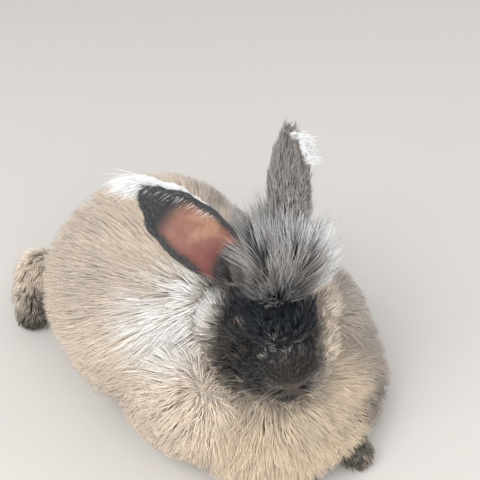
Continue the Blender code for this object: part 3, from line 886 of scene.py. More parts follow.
def face_colours(places):
    """Root and tip colours of the short fur on the head, by place."""
    local = head_local(places)
    half = one_side(local)
    root, tip = wool_colours(places)
    dark = mask_of_face(local)
    patchy = smooth(soft_noise(places, 0.007, 8) * 0.9)
    specks = smooth(soft_noise(places, 0.0045, 19) * 1.6 - 0.1)
    cheek = blob(half, (0.030, -0.018, -0.020), (0.016, 0.026, 0.020), 0.6)
    brow = blob(local, (-0.002, -0.017, 0.023), (0.028, 0.022, 0.016), 0.5)
    muzzle = blob(local, (0, -0.052, -0.012), (0.021, 0.021, 0.024), 0.5)
    bridge = blob(local, (-0.006, -0.037, 0.010), (0.015, 0.009, 0.010), 0.5)
    # The wings of the nose and the upper lip are brown, painted lighter: painted light in the shade under
    # the nose
    nose_wing = blob(half, (0.009, -0.055, -0.0085), (0.0070, 0.012, 0.0030), 0.6)
    upper_lip = blob(local, (0, -0.056, -0.0190), (0.018, 0.014, 0.0125), 0.4)
    # Painted shadow under the upper lip: a thin dark band
    under = blob(local, (0, -0.054, -0.0275), (0.018, 0.018, 0.0022), 0.6)
    # Painted shade in the split of the lip and in the nostrils: near black in these hollows
    split = blob(local, (0.001, -0.057, -0.0165), (0.0030, 0.012, 0.0042), 0.5)
    nostril = blob(half, (NOSTRIL_AT[0], -0.057, NOSTRIL_AT[2]), (0.0054, 0.010, 0.0028), 0.4)
    lip = smooth((-0.0290 - local[:, 2] + 14.0 * local[:, 0] ** 2) / 0.003)
    lip = lip * smooth((-0.022 - local[:, 1]) / 0.010) * smooth((0.026 - half[:, 0]) / 0.008)
    markings = [
        (dark, FACE_ROOT, FACE_TIP),
        (cheek * dark, CHEEK_ROOT, CHEEK_TIP),
        (brow * dark, BROW_ROOT, BROW_TIP),
        (muzzle, MUZZLE_ROOT, MUZZLE_TIP),
        (bridge * specks, MUZZLE_ROOT, BRIDGE_TIP),
        (nose_wing * 0.4, MUZZLE_ROOT, BRIDGE_TIP),
        (upper_lip * 0.85, MUZZLE_TIP, LIP_BROWN_PAINTED_LIGHTER),
        (under * 0.5, BROW_ROOT, MUZZLE_ROOT),
        (np.maximum(split * 0.9, nostril), NOSTRIL_SHADE, BROW_ROOT),
        (lip * 0.9, MUZZLE_TIP, LIP_PALE),
    ]
    for share, root_hex, tip_hex in markings:
        root, tip = mix(root, linear(root_hex), share), mix(tip, linear(tip_hex), share)
    tip = mix(tip, linear(MUZZLE_TIP), patchy * dark * 0.20)
    return root, tip


def node(tree, kind, settings=(), links=()):
    """Adds a node, sets it by name, and links its inputs from other nodes' outputs."""
    made = tree.nodes.new(kind)
    for name, value in dict(settings).items():
        if name in made.inputs:
            made.inputs[name].default_value = value
        else:
            setattr(made, name, value)
    for name, source in dict(links).items():
        tree.links.new(source, made.inputs[name])
    return made


def new_material(name, slot):
    made = bpy.data.materials.new(name)
    made.use_nodes = True
    made.node_tree.nodes.clear()
    made["slot"] = slot
    return made, made.node_tree


def finish_with(tree, settings, links):
    shader = node(tree, "ShaderNodeBsdfPrincipled", settings, links)
    node(tree, "ShaderNodeOutputMaterial", links={"Surface": shader.outputs[0]})


def painted_material(name, slot, settings):
    """A material that takes its colour from the mesh."""
    made, tree = new_material(name, slot)
    shade = node(tree, "ShaderNodeAttribute", {"attribute_name": "coat"})
    finish_with(tree, settings, {"Base Color": shade.outputs["Color"]})
    return made


def wool_material():
    """Angora wool: keratin fibre with hardly any scale, so soft and dull with a faint silky rim."""
    settings = {"Roughness": 0.68, "IOR": 1.45, "Sheen Weight": 0.12, "Sheen Roughness": 0.5,
                "Specular IOR Level": 0.25}
    return painted_material("angora_wool", "wool", settings)


def fur_material():
    """Short guard hair of face and feet: darker and a little glossier than the wool."""
    settings = {"Roughness": 0.55, "IOR": 1.5, "Specular IOR Level": 0.22}
    return painted_material("short_fur", "smoke_fur", settings)


def skin_material():
    """Skin with a fine down on it: its own colours, broken up by hair about 0.8 mm apart."""
    made, tree = new_material("downy_skin", "smoke_fur")
    shade = node(tree, "ShaderNodeAttribute", {"attribute_name": "coat"})
    place = node(tree, "ShaderNodeTexCoord")
    down = node(tree, "ShaderNodeTexNoise", {"Scale": 1250.0, "Detail": 3.0, "Roughness": 0.6},
                {"Vector": place.outputs["Object"]})
    bump = node(tree, "ShaderNodeBump", {"Strength": 0.35, "Distance": 0.0004},
                {"Height": down.outputs["Fac"]})
    vary = node(tree, "ShaderNodeMapRange", {"To Min": 0.78, "To Max": 1.2},
                {"Value": down.outputs["Fac"]})
    mottle = node(tree, "ShaderNodeVectorMath", {"operation": "SCALE"},
                  {0: shade.outputs["Color"], "Scale": vary.outputs[0]})
    settings = {"Roughness": 0.6, "Subsurface Weight": 0.15, "Subsurface Scale": 0.002}
    finish_with(tree, settings, {"Base Color": mottle.outputs[0], "Normal": bump.outputs[0]})
    return made


def eye_material():
    """A living eye: dark brown iris round a black pupil, under a clear wet cornea."""
    settings = {"Roughness": 0.08, "IOR": 1.38, "Coat Weight": 1.0, "Coat Roughness": 0.03}
    return painted_material("eye", "eye", settings)


def horn_material():
    """Claw: dark keratin horn with fine paler streaks and a dull gloss."""
    made, tree = new_material("horn", "smoke_fur")
    place = node(tree, "ShaderNodeTexCoord")
    streak = node(tree, "ShaderNodeTexNoise", {"Scale": 900.0, "Detail": 2.0},
                  {"Vector": place.outputs["Object"]})
    ramp = node(tree, "ShaderNodeMix", {"data_type": "RGBA"}, {"Factor": streak.outputs["Fac"]})
    ramp.inputs[6].default_value = (*linear(HORN_ROOT), 1)
    ramp.inputs[7].default_value = (*linear(HORN_TIP), 1)
    finish_with(tree, {"Roughness": 0.35, "IOR": 1.55}, {"Base Color": ramp.outputs[2]})
    return made


def ear_share(ear, places):
    """Where places are by an ear: u along it, and metres out of its hollow and across it."""
    base, tip, _ = ear
    axis, front, side = (np.array(v) for v in ear_frame(*ear))
    off = places - np.array(base)
    u = off @ axis / (tip - base).length
    return u, off @ front, off @ side


def ear_widths(u):
    """The ear's width laid flat, at each u along it."""
    stops, widths = zip(*EAR_WIDTH)
    return np.interp(u, stops, widths)


SKULL_WITHIN_EARS = ((0, 0, 0), (0.040, 0.050, 0.040))
LID_RIM = 0.0082


def ear_skin(ear, places, normals):
    """Which places are bare skin in the ear's hollow, their colours, and how strongly these show."""
    u, _, across = ear_share(ear, places)
    middle = smooth((0.88 - np.abs(across) / (ear_widths(u) / 2)) / 0.30)
    middle = middle * smooth((0.78 - u) / 0.16) * smooth((u - 0.11) / 0.12)
    aside = across / ear_widths(u)
    veins = smooth(1.2 - np.abs(soft_noise(places * np.array((1, 1, 0.5)), 0.006, 5)) * 3)
    # Amber towards one edge of the hollow: partly random tone, partly a painted highlight where light falls
    # in the ear
    flesh = mix(linear(EAR_PINK), linear(EAR_AMBER_HIGHLIGHT), smooth(soft_noise(places, 0.012, 6) + aside * 2))
    flesh = mix(flesh, linear(EAR_ROSE), smooth((0.50 - u) / 0.34 - aside * 1.5) * 0.8)
    flesh = mix(flesh, linear(EAR_ROSE), veins * 0.30)
    return normals @ np.array(ear_frame(*ear)[1]) > 0.12, flesh, middle


def paint_skin(skin):
    """Colours the skin with the coat's markings, bare pink in the ears with a painted amber highlight, and
    painted shade in the nostrils.
    """
    places = point_values(skin, "co")
    normals = point_values(skin, "normal")
    local = head_local(places)
    on_head = blob(local, (0, -0.005, 0.004), (0.062, 0.068, 0.062), 0.05)
    colours = mix(wool_colours(places)[0], face_colours(places)[0], on_head)
    # The skin of the paws, low down at the ends of the legs
    x, y, z = places.T
    colours[(z < 0.034) & ((y < -0.100) | (y > 0.155) | (x > 0.100))] = linear(PAW_DARK)
    for ear in (EAR_RIGHT, EAR_LEFT):
        u, forward, across = ear_share(ear, places)
        on_ear = (u > 0.10) & (u < 1.15) & (np.abs(forward) < 0.030) & (np.abs(across) < 0.036)
        on_ear &= ~inside_masses(local, [SKULL_WITHIN_EARS])
        colours[on_ear] = linear(EAR_RIM)
        hollow, flesh, middle = ear_skin(ear, places, normals)
        bare = on_ear & hollow
        colours[bare] = mix(colours[bare], flesh[bare], middle[bare])
    for ear in (EAR_RIGHT, EAR_LEFT):
        at_root = blob(places, ear[0], (0.024, 0.022, 0.020), 0.4)
        colours = mix(colours, linear(FORELOCK_BROWN) * 0.6, at_root)
    nose = blob(local, (0, -0.0580, -0.0120), (0.0120, 0.0070, 0.0085), 0.3)
    colours = mix(colours, linear(NOSE_LEATHER), nose)
    for side in (1, -1):
        # Painted shade in each nostril: near black in the hollow
        hole_at = twin((NOSTRIL_AT[0], -0.0560, NOSTRIL_AT[2] + 0.0006), side)
        hole = blob(local, hole_at, (0.0052, 0.0060, 0.0032), 0.3)
        colours = mix(colours, linear(NOSTRIL_SHADE), hole)
        eye = head_local(np.array([in_head(side, EYE_CENTRE)]))[0]
        rim = blob(local, eye + np.array(twin(EYE_AXIS, side)) * LID_RIM, (LID_RIM,) * 3, 0.2)
        colours = mix(colours, linear(LID_PALE), rim * 0.8)
    paint(skin, colours)


def clear_of(local, middle, stretch, reach):
    """Where places in the head's frame lie farther than reach from middle and from its twin."""
    off = (one_side(local) - np.array(middle)) / np.array(stretch)
    return np.linalg.norm(off, axis=1) > reach


def clear_of_eyes(local, reach=0.0054):
    front = np.array(EYE_CENTRE) + np.array(EYE_AXIS) * EYE_RADIUS
    return clear_of(local, front, (1.0, 1.25, 0.72), reach)


def clear_of_nostrils(local):
    return clear_of(local, (NOSTRIL_AT[0], -0.0570, NOSTRIL_AT[2]), (1.35, 2.5, 0.74), 0.0038)


def wool_lie(places, outwards):
    """Away from the parting, and down on a steep flank."""
    away = unit(places - PARTING) + np.array((0, 0, -HANG))
    return along_skin(away, outwards)


def even_outwards(places, masses):
    """Outward directions that turn slowly from one mass to the next."""
    blend = np.zeros(places.shape)
    for centre, radii in masses:
        off = (places - np.array(centre)) / np.array(radii)
        reach = np.linalg.norm(off, axis=1, keepdims=True)
        blend += off / np.array(radii) / reach * np.exp(-9 * reach)
    return unit(blend)


# The trunk's wool, from under to over. spacing is between roots, and bands are pieces from front to
# back. reach is how far up the coat the tips come, and slant a tuft's height over its length. gather
# and stray are as in tuft_paths, and spare is what stays of a tip's way out of the coat's outline
WOOL_LAYERS = {
    "underwool": {
        "bands": 5, "spacing": 0.00188, "stops": SHORT_STOPS, "widths": (0.0009, 0.0014),
        "reach": (0.55, 0.86), "slant": 0.42, "gather": 0.30, "stray": 8, "spare": 0.28,
    },
    "wool": {
        "bands": 6, "spacing": 0.00168, "stops": STOPS, "widths": (0.0003, 0.00055),
        "reach": (0.80, 1.10), "slant": 0.37, "gather": 0.38, "stray": 6, "spare": 0.28,
    },
    "halo": {
        "bands": 1, "spacing": 0.0042, "stops": STOPS, "widths": (0.00018, 0.0003),
        "reach": (1.00, 1.12), "slant": 0.42, "gather": 0.10, "stray": 12, "spare": 0.36,
    },
}
WOOL_SPREAD = 0.05


def wool_layer(part, draw, layer):
    """Roots, outward directions, paths and colours of one layer of the trunk's long wool."""
    outline = TRUNK_MASSES + NECK_MASSES + BELLY_MASSES

    def wanted(places, outwards):
        keep = (places[:, 2] > 0.004) & (outwards[:, 2] > -0.70)
        return keep & ~inside_masses(head_local(places), FACE_OUTLINE, -0.004)

    places, outwards = even_roots(part, layer["spacing"], draw, wanted)
    outwards = unit(outwards * 0.25 + even_outwards(places, outline) * 0.75)
    depth = np.clip(depth_under(outline, places, outwards), 0.008, 0.030)
    wisp = 1 + 0.16 * draw.random(len(places)) ** 6
    height = depth * draw.uniform(*layer["reach"], len(places)) * wisp
    over_paw = blob(places, PAW_GAP, (0.048, 0.034, 0.034), 0.4)
    over_foot = blob(places, FOOT_GAP, (0.040, 0.034, 0.034), 0.4)
    shorter = 1 - 0.50 * np.maximum(over_paw, over_foot)
    length = np.clip(height / layer["slant"], 0.018, 0.070) * shorter
    paths = tuft_paths(places, outwards, wool_lie(places, outwards), length, height, draw,
                       clump=0.0085, gather=layer["gather"], stray=layer["stray"], swing=8,
                       droop=0.22, wave=0.0014, stops=layer["stops"])
    paths = above_floor(push_out(hold_in(paths, outline, layer["spare"]), FACE_OUTLINE))
    root = wool_colours(places)[0]
    tip = wool_colours(paths[:, -2])[1]
    tip = tip * (1 + 0.10 * soft_noise(places, 0.007, 51))[:, None]
    return places, outwards, paths, shaded(root, tip, layer["stops"], draw, WOOL_SPREAD)


def build_trunk_wool(part, unwrap, finish, draw):
    """A dense underwool, over it the long fine hair of the coat's surface, and a few stray hairs."""
    for name, layer in WOOL_LAYERS.items():
        places, outwards, paths, colours = wool_layer(part, draw, layer)
        order = np.argsort(places[:, 1])
        for band, chosen in enumerate(np.array_split(order, layer["bands"])):
            width = draw.uniform(*layer["widths"], len(chosen))
            tuft_mesh(f"{name}_{band + 1}", paths[chosen], outwards[chosen], width, colours[chosen],
                      unwrap.at(places[chosen]), finish, layer["stops"])


def face_lie(places, outwards):
    """Back over the face from the nose."""
    local = head_local(places)
    turn = np.array(HEAD_TURN.to_3x3())
    away = (local - np.array(NOSE)) @ turn.T
    return along_skin(away, outwards)


def face_lengths(local):
    """Short on the muzzle and round the eyes, and longer over the cheeks, jaw and brow."""
    half = one_side(local)
    length = 0.0145 + blob(half, (0.034, 0.004, -0.016), (0.014, 0.024, 0.022), 0.5) * 0.009
    length = length + blob(half, (0.018, -0.034, -0.034), (0.022, 0.020, 0.014), 0.5) * 0.004
    low = blob(local, (0, -0.038, -0.008), (0.024, 0.034, 0.025), 0.30)
    length = length * (1 - low) + 0.0075 * low
    nose = blob(local, (0, -0.056, -0.0175), (0.020, 0.013, 0.016), 0.4)
    length = length * (1 - nose) + 0.0020 * nose
    by_eye = ~clear_of_eyes(local, 0.0105)
    return length * (1 - by_eye * 0.55)


def face_fur(part, unwrap, finish, draw):
    """Short fur of the face, cheeks and jaw, with some longer, paler hairs that flick up."""
    body = thinner(TRUNK_MASSES, WOOL_DEPTH) + thinner(NECK_MASSES, NECK_DEPTH)

    def wanted(places, outwards):
        local = head_local(places)
        keep = clear_of_eyes(local) & clear_of_nostrils(local)
        keep &= ~inside_masses(places, body)
        return keep & (crown_share(local) < 0.55)

    places, outwards = even_roots(part, 0.00105, draw, wanted)
    local = head_local(places)
    count = len(places)
    flick = draw.random(count) < 0.07
    length = face_lengths(local) * np.where(flick, 1.35, 1.0)
    slant = np.interp(length, (0.003, 0.008, 0.024), (0.26, 0.34, 0.42))
    height = length * slant * np.where(flick, 1.3, 1.0)
    paths = tuft_paths(places, outwards, face_lie(places, outwards), length, height, draw,
                       clump=0.0038, gather=0.50, stray=14, swing=20, droop=0.05, wave=0.0006,
                       sink=0.0006, stops=SHORT_STOPS)
    root, tip = face_colours(places)
    tip = tip * (1 + 0.8 * flick * mask_of_face(local))[:, None]
    width = np.interp(length, (0.003, 0.02), (0.0004, 0.0008)) * draw.uniform(0.75, 1.2, count)
    colours = shaded(root, tip, SHORT_STOPS, draw, 0.15)
    order = np.argsort(local[:, 1])
    for name, chosen in zip(("fur_face", "fur_cheeks"), np.array_split(order, 2)):
        tuft_mesh(name, paths[chosen], outwards[chosen], width[chosen], colours[chosen],
                  unwrap.at(places[chosen]), finish, stops=SHORT_STOPS)


def crown_share(local):
    """How far a place on the head belongs to the mop of wool on the crown."""
    up = smooth((local[:, 2] - 0.012) / 0.026) * smooth((local[:, 1] + 0.034) / 0.028)
    return up * smooth((0.036 - np.abs(local[:, 0])) / 0.012)


def forelock(part, unwrap, finish, draw):
    """The mop of wool on the crown, which rises dark from the brow and fans up and back."""

    def wanted(places, outwards):
        return crown_share(head_local(places)) >= 0.30

    places, outwards = even_roots(part, 0.00098, draw, wanted)
    local = head_local(places)
    turn = np.array(HEAD_TURN.to_3x3())
    back = np.maximum(local[:, 1], 0)
    fan = np.stack([local[:, 0] * 30, np.full(len(local), 0.6), 0.9 - 45 * back], axis=1)
    lie = along_skin(unit(fan) @ turn.T, outwards)
    share = crown_share(local)
    brown = smooth((-local[:, 0] - 0.005) / 0.012)
    behind = smooth((local[:, 1] + 0.012) / 0.020)
    aside = smooth((np.abs(local[:, 0] - 0.002) - 0.012) / 0.014)
    length = np.interp(share, (0.30, 0.6, 1.0), (0.014, 0.026, 0.040))
    length = length * draw.uniform(0.75, 1.2, len(places))
    length = length * (1 - 0.30 * brown) * (1 - 0.40 * aside) * (1 + 0.20 * behind * (1 - aside))
    height = length * np.interp(share, (0.3, 1.0), (0.22, 0.58))
    paths = tuft_paths(places, outwards, lie, length, height, draw, clump=0.0070, gather=0.42,
                       stray=10, swing=15, droop=0.02)
    root, tip = face_colours(places)
    crown = smooth((share - 0.38) / 0.60) * (0.35 + 0.65 * behind)
    streak = smooth(soft_noise(places, 0.008, 41) + 0.5)
    pale = mix(linear(FORELOCK_TIP), linear(FORELOCK_BROWN), brown * 0.85)
    root = mix(root, linear(FORELOCK_ROOT), crown)
    tip = mix(tip, linear(FORELOCK_ROOT), smooth((share - 0.38) / 0.5) * 0.8)
    tip = mix(tip, pale, crown * (0.55 + 0.45 * streak))
    bright = smooth((local[:, 0] - 0.004) / 0.008) * streak * smooth((share - 0.4) / 0.4)
    tip = mix(tip, linear(TASSEL_WHITE), bright * 0.6)
    colours = shaded(root, tip, STOPS, draw, 0.14, turn_at=0.60)
    width = draw.uniform(0.00035, 0.0007, len(places))
    tuft_mesh("wool_forelock", paths, outwards, width, colours, unwrap.at(places), finish)


# Fur of each ear: length on its back, and colours there at root and tip
EAR_FURS = {
    "ear_right": (EAR_RIGHT, 0.008, EAR_RIM, EAR_RIM_TIP),
    "ear_left": (EAR_LEFT, 0.014, EAR_BACK_ROOT, EAR_BACK_TIP),
}
# Long hair of each ear: the edge it grows from, where it falls, how many hairs, the span of the ear
# that they grow along, their length at both ends of it, and how soon they turn to fall
TASSELS = {
    "tassel_ear_right": (EAR_RIGHT, 1, EAR_RIGHT_FALL, 1500, (0.46, 1.0), (0.012, 0.033), 0.85),
    "tassel_ear_left": (EAR_LEFT, -1, EAR_LEFT_FALL, 520, (0.77, 0.96), (0.013, 0.018), 0.80),
}


def ear_fur(name, part, unwrap, finish, draw):
    """Fur on the back and rim of an ear, along it to its tip, and fine hair into its hollow."""
    ear, back_length, root_hex, tip_hex = EAR_FURS[name]
    axis, front, side = (np.array(v) for v in ear_frame(*ear))

    def wanted(places, outwards):
        u, _, across = ear_share(ear, places)
        rim = np.abs(across) > ear_widths(u) * 0.36
        return (u > 0.06) & ((outwards @ front < 0.1) | rim | (u > 0.78) | (u < 0.17))

    places, outwards = even_roots(part, 0.00115, draw, wanted)
    u, _, across = ear_share(ear, places)
    count = len(places)
    inner = outwards @ front > 0.1
    to_edge = np.sign(across)[:, None] * side * np.where(inner, -0.35, 0.10)[:, None]
    lie = along_skin(axis + to_edge, outwards)
    length = np.where(inner, 0.0085, back_length) * np.interp(u, (0, 0.3, 1), (1.3, 1.0, 0.75))
    length = length * draw.uniform(0.7, 1.1, count)
    height = length * np.where(inner, 0.16, 0.12)
    paths = tuft_paths(places, outwards, lie, length, height, draw, gather=0.25, stray=9, swing=7,
                       droop=0.03, wave=0.0006, sink=0.0005, stops=SHORT_STOPS)
    streak = (1 + 0.16 * soft_noise(places, 0.006, 61))[:, None]
    root, tip = linear(root_hex) * streak, linear(tip_hex) * streak
    tip[inner] = linear(EAR_RIM_TIP)
    root[inner] = linear(EAR_RIM)
    colours = shaded(root, tip, SHORT_STOPS, draw, 0.15)
    width = draw.uniform(0.0003, 0.0006, count) * np.where(inner, 0.8, 1.0)
    tuft_mesh("fur_" + name, paths, outwards, width, colours, unwrap.at(places), finish, SHORT_STOPS)


def tassel(name, unwrap, finish, draw):
    """White hair that grows along one edge of an ear up to its tip and sweeps away past it."""
    ear, edge, fall, count, span, reach, sweep = TASSELS[name]
    axis, front, side = (np.array(v) for v in ear_frame(*ear))
    low, high = span
    u = low + (high - low) * draw.random(count) ** 0.75
    across = edge * draw.uniform(0.78, 1.0, count)
    across = np.where(u > 0.93, edge * draw.uniform(-0.6, 1.0, count), across)
    places = np.array([ear_point(ear, a, b, EAR_WALL * 0.6) for a, b in zip(u, across)])
    length = np.interp(u, span, reach) * draw.uniform(0.5, 1.2, count)
    past = side * edge
    out = unit(axis * 0.8 + past * 0.30 - front * 0.22 + draw.normal(0, 0.09, (count, 3)))
    fallen = np.array(fall) + axis * (1 - sweep) + past * 0.15
    end = unit(fallen + draw.normal(0, 0.16, (count, 3)))
    paths = np.empty((count, len(STOPS), 3))
    paths[:, 0] = places - out * 0.002
    for k in range(1, len(STOPS)):
        share = min(1, (STOPS[k] + STOPS[k - 1]) * 0.80)
        step = unit(out * (1 - share) + end * share)
        paths[:, k] = paths[:, k - 1] + step * (length * (STOPS[k] - STOPS[k - 1]))[:, None]
    outwards = np.tile(front, (count, 1))
    root = np.tile(linear(TASSEL_ROOT), (count, 1))
    tip = np.tile(linear(TASSEL_WHITE), (count, 1))
    colours = shaded(root, tip, STOPS, draw, 0.05, turn_at=0.2)
    width = draw.uniform(0.00025, 0.0005, count)
    tuft_mesh(name, paths, outwards, width, colours, unwrap.at(places), finish)


# Where the fur of a leg is darker
DARKER_LEG_PLACES = {
    "hindleg_right": [
        ((-0.050, 0.160, 0.032), (0.020, 0.018, 0.022)),
        ((-0.068, 0.170, 0.010), (0.020, 0.018, 0.014)),
    ],
}
# Length of the fur of a leg, and of one leg where it is longer
LIMB_FUR = 0.012
LONG_LIMB_FUR = {"hindleg_right": 0.016}


def limb_fur(name, part, unwrap, finish, draw):
    """Fur of a leg and paw, down towards its toes."""
    stops = LIMBS[name]
    tip_end = np.array(stops[-1][0])
    axis = unit(tip_end - np.array(stops[-2][0]))
    body = thinner(TRUNK_MASSES, WOOL_DEPTH) + BELLY_MASSES

    def wanted(places, outwards):
        return (places[:, 2] > 0.0015) & ~inside_masses(places, body)

    places, outwards = even_roots(part, 0.0014, draw, wanted)
    lie = along_skin(np.tile(axis + np.array((0, 0, -0.4)), (len(places), 1)), outwards)
    to_toes = np.linalg.norm(places - tip_end, axis=1)
    length = LONG_LIMB_FUR.get(name, LIMB_FUR) * (1.35 - 0.5 * smooth(1.5 - to_toes / 0.03))
    paths = tuft_paths(places, outwards, lie, length, length * 0.36, draw, clump=0.005, stray=14,
                       swing=22, droop=0.15, wave=0.0008, stops=SHORT_STOPS)
    paths = above_floor(paths)
    near_toes = smooth(1.45 - to_toes / 0.024)
    darker_leg = np.zeros(len(places))
    for centre, radii in DARKER_LEG_PLACES.get(name, []):
        darker_leg = np.maximum(darker_leg, blob(places, centre, radii, 0.5))
    if name in DARKER_LEG_PLACES:
        near_toes = near_toes * 0.35
    root, tip = wool_colours(places)
    root = mix(root, linear(SOOT), 0.25)
    bands = smooth(soft_noise(places * np.array((1, 1, 0.4)), 0.011, 21) * 1.2 + 0.35)
    root = mix(root, linear(PAW_DARK) * 0.8, near_toes)
    tip = mix(tip, mix(linear(PAW_TIP), linear(PAW_DARK), bands), near_toes * 0.9)
    tip = mix(tip, linear(PAW_DARK), darker_leg * 0.85)
    root = mix(root, linear(PAW_DARK), darker_leg)
    colours = shaded(root, tip, SHORT_STOPS, draw, 0.14)
    width = draw.uniform(0.0005, 0.0009, len(places))
    tuft_mesh("fur_" + name, paths, outwards, width, colours, unwrap.at(places), finish, SHORT_STOPS)


def tail_wool(part, unwrap, finish, draw):
    """Wool of the tail, up and back over it."""
    places, outwards = even_roots(part, 0.0017, draw, lambda p, n: p[:, 2] > 0.006)
    lie = along_skin(np.tile((0.0, 0.35, 1.0), (len(places), 1)), outwards)
    length = np.full(len(places), 0.022)
    paths = above_floor(tuft_paths(places, outwards, lie, length, length * 0.5, draw))
    colours = shaded(*wool_colours(places), STOPS, draw, 0.12)
    width = draw.uniform(0.0008, 0.0012, len(places))
    tuft_mesh("wool_tail", paths, outwards, width, colours, unwrap.at(places), finish)


WHISKER_ROWS = 4
WHISKER_COLUMNS = 4
WHISKER_WIDTH = 0.00022


def whiskers(head, unwrap, finish, draw):
    """Long stiff pale hairs from the pads of the upper lip."""
    tree = surface_of(head)
    places, aims, reach = [], [], []
    for side in (1, -1):
        for row in range(WHISKER_ROWS):
            for column in range(WHISKER_COLUMNS):
                root = (0.012 + 0.003 * column, -0.062 + 0.006 * column, -0.010 - 0.0038 * row)
                aim = Vector((side * 1.0, -0.35 + 0.22 * column, -0.10 - 0.16 * row)).normalized()
                places.append(on_muzzle(tree, twin(root, side)))
                aims.append(HEAD_TURN.to_3x3() @ aim)
                reach.append(0.030 + 0.006 * column)
    places, aims, reach = np.array(places), np.array(aims), np.array(reach)
    aims = unit(aims + draw.normal(0, 0.10, aims.shape))
    count = len(places)
    paths = np.empty((count, len(STOPS), 3))
    for k, s in enumerate(STOPS):
        bend = np.array((0, 0, -0.30)) * s * s
        paths[:, k] = places - aims * 0.001 + (aims * s + bend) * reach[:, None]
    paths = above_floor(paths)
    colours = np.tile(linear(WHISKER), (count, len(STOPS), 1))
    width = np.full(count, WHISKER_WIDTH)
    upwards = np.tile((0, 0, 1.0), (count, 1))
    tuft_mesh("whiskers", paths, upwards, width, colours, unwrap.at(places), finish)


def eyeball(side, finish):
    """An eye with its iris and pupil in rings about the line on which it looks."""
    name = "eyeball_left" if side > 0 else "eyeball_right"
    centre = in_head(side, EYE_CENTRE)
    ball = ellipsoid(name, centre, [EYE_RADIUS] * 3, fineness=6)
    out = np.array(eye_turn(side).to_3x3() @ Vector((0, 0, 1)))
    off = point_values(ball, "co") - np.array(centre)
    turn = np.degrees(np.arccos(np.clip(unit(off) @ out, -1, 1)))
    colours = mix(linear(IRIS), linear(IRIS_LIGHT), smooth((turn - 18) / 10) * smooth((44 - turn) / 10))
    colours = mix(colours, linear(PUPIL), smooth((19 - turn) / 3))
    colours = mix(colours, linear(IRIS_EDGE), smooth((turn - 44) / 4))
    colours = mix(colours, linear(EYE_WHITE), smooth((turn - 60) / 4))
    paint(ball, colours)
    shade_smooth(ball)
    dress(ball, finish)
    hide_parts("eye_left" if side > 0 else "eye_right")


CLAW_LENGTH = 0.0055
CLAW_RADIUS = 0.0012
CLAW_TIP_RADIUS = 0.0002
CLAW_GAP = 0.0058
CLAW_HEIGHT = 0.0060


def claw(place, aim):
    """A curved horn claw, thick at its root."""
    bpy.ops.mesh.primitive_cone_add(
        vertices=10, radius1=CLAW_RADIUS, radius2=CLAW_TIP_RADIUS, depth=CLAW_LENGTH)
    made = bpy.context.object
    bpy.ops.object.mode_set(mode="EDIT")
    bpy.ops.mesh.select_all(action="SELECT")
    bpy.ops.mesh.subdivide(number_cuts=3)
    bpy.ops.object.mode_set(mode="OBJECT")
    for vertex in made.data.vertices:
        share = vertex.co.z / CLAW_LENGTH + 0.5
        vertex.co.y -= share * share * CLAW_LENGTH * 0.28
        vertex.co.x *= 0.7
    turn = aim.to_track_quat("Z", "Y").to_matrix().to_4x4()
    made.data.transform(Matrix.Translation(place) @ turn)
    shade_smooth(made)
    return made


def claws(finish):
    """Four claws at the end of each paw, joined to one piece a paw."""
    for name, stops in LIMBS.items():
        tip, radii = Vector(stops[-1][0]), Vector(stops[-1][1])
        axis = tip - Vector(stops[-2][0])
        axis.z = 0
        axis.normalize()
        side = axis.cross(Vector((0, 0, 1)))
        made = []
        for k in (-1.5, -0.5, 0.5, 1.5):
            reach = (radii.x - 0.004) * (1 - 0.06 * k * k)
            place = tip + axis * reach + side * k * CLAW_GAP
            place.z = CLAW_HEIGHT
            aim = (axis + side * k * 0.12 + Vector((0, 0, -0.35))).normalized()
            made.append(claw(place, aim))
        select_only(*made)
        bpy.ops.object.join()
        joined = bpy.context.object
        joined.name = "claws_" + name
        dress(joined, finish)


FLOOR_GREY = "#BDB9B4"
SKY_WHITE = "#F2F2F4"
SKY_STRENGTH = 0.86
# Each lamp's place, size and power, all aimed at one point of the body
LAMPS = {
    "key_light": ((-1.0, 0.10, 1.25), 1.2, 22.0),
    "front_light": ((-0.5, -1.3, 0.9), 1.4, 15.0),
    "fill_light": ((1.3, -0.5, 0.9), 1.6, 6.0),
}
LAMPS_AIM = Vector((0, 0, 0.08))


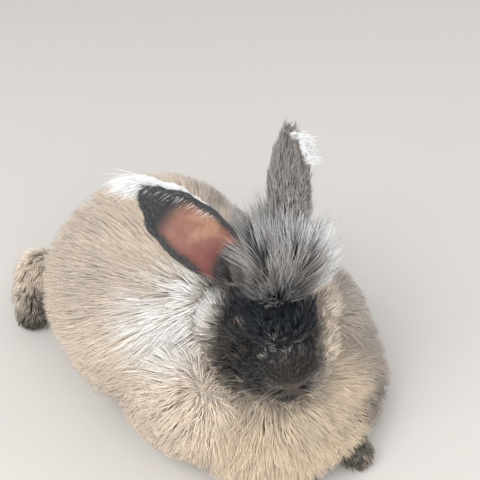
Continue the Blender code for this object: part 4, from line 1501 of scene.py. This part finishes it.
def studio():
    """A plain pale floor, and soft light from the rabbit's right and front, with a weak fill."""
    bpy.ops.mesh.primitive_plane_add(size=6, location=(0, 0, 0))
    floor = bpy.context.object
    floor.name = "studio_floor"
    made = bpy.data.materials.new("pale_floor")
    made.use_nodes = True
    shader = made.node_tree.nodes["Principled BSDF"]
    shader.inputs["Base Color"].default_value = (*linear(FLOOR_GREY), 1)
    shader.inputs["Roughness"].default_value = 0.85
    floor.data.materials.append(made)
    for name, (place, size, power) in LAMPS.items():
        data = bpy.data.lights.new(name, "AREA")
        data.size = size
        data.energy = power
        lamp = bpy.data.objects.new(name, data)
        lamp.location = place
        lamp.rotation_euler = (LAMPS_AIM - Vector(place)).to_track_quat("-Z", "Y").to_euler()
        bpy.context.collection.objects.link(lamp)
    world = bpy.data.worlds.new("studio_air")
    world.use_nodes = True
    sky = world.node_tree.nodes["Background"]
    sky.inputs["Color"].default_value = (*linear(SKY_WHITE), 1)
    sky.inputs["Strength"].default_value = SKY_STRENGTH
    bpy.context.scene.world = world
    # Colours shown as they are, with a photograph's full contrast
    bpy.context.scene.view_settings.view_transform = "Standard"


CAMERA_TARGET = Vector((0.1066, 0.0682, 0.0625))
CAMERA_AZIMUTH = math.radians(-46)
CAMERA_ELEVATION = math.radians(42)
CAMERA_DISTANCE = 0.76
CAMERA_LENS = 60
CAMERA_SENSOR = 36


def camera():
    """The photograph's view: 42 degrees above the floor, 60 mm lens on a 36 mm frame."""
    back = Vector((
        math.sin(CAMERA_AZIMUTH) * math.cos(CAMERA_ELEVATION),
        -math.cos(CAMERA_AZIMUTH) * math.cos(CAMERA_ELEVATION),
        math.sin(CAMERA_ELEVATION),
    ))
    data = bpy.data.cameras.new("camera")
    data.lens = CAMERA_LENS
    data.sensor_width = CAMERA_SENSOR
    data.clip_start = 0.01
    made = bpy.data.objects.new("camera", data)
    made.location = CAMERA_TARGET + back * CAMERA_DISTANCE
    made.rotation_euler = (-back).to_track_quat("-Z", "Y").to_euler()
    bpy.context.collection.objects.link(made)
    bpy.context.scene.camera = made


def build():
    draw = np.random.default_rng(11)
    wool, fur, hide = wool_material(), fur_material(), skin_material()
    parts = skin_parts()
    skin = one_skin(parts)
    paint_skin(skin)
    dress(skin, hide)
    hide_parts("torso", "neck", "head", "tail", "ear_left", "ear_right", *LIMBS)
    unwrap = Unwrap(skin)
    build_trunk_wool(parts["trunk"], unwrap, wool, draw)
    face_fur(parts["head"], unwrap, fur, draw)
    forelock(parts["head"], unwrap, wool, draw)
    for name in EAR_FURS:
        ear_fur(name, parts[name], unwrap, fur, draw)
    for name in TASSELS:
        tassel(name, unwrap, wool, draw)
    for name in LIMBS:
        limb_fur(name, parts[name], unwrap, fur, draw)
    tail_wool(parts["tail"], unwrap, wool, draw)
    whiskers(parts["head"], unwrap, fur, draw)
    for part in parts.values():
        bpy.data.objects.remove(part)
    eye = eye_material()
    eyeball(1, eye)
    eyeball(-1, eye)
    claws(horn_material())


build()
studio()
camera()
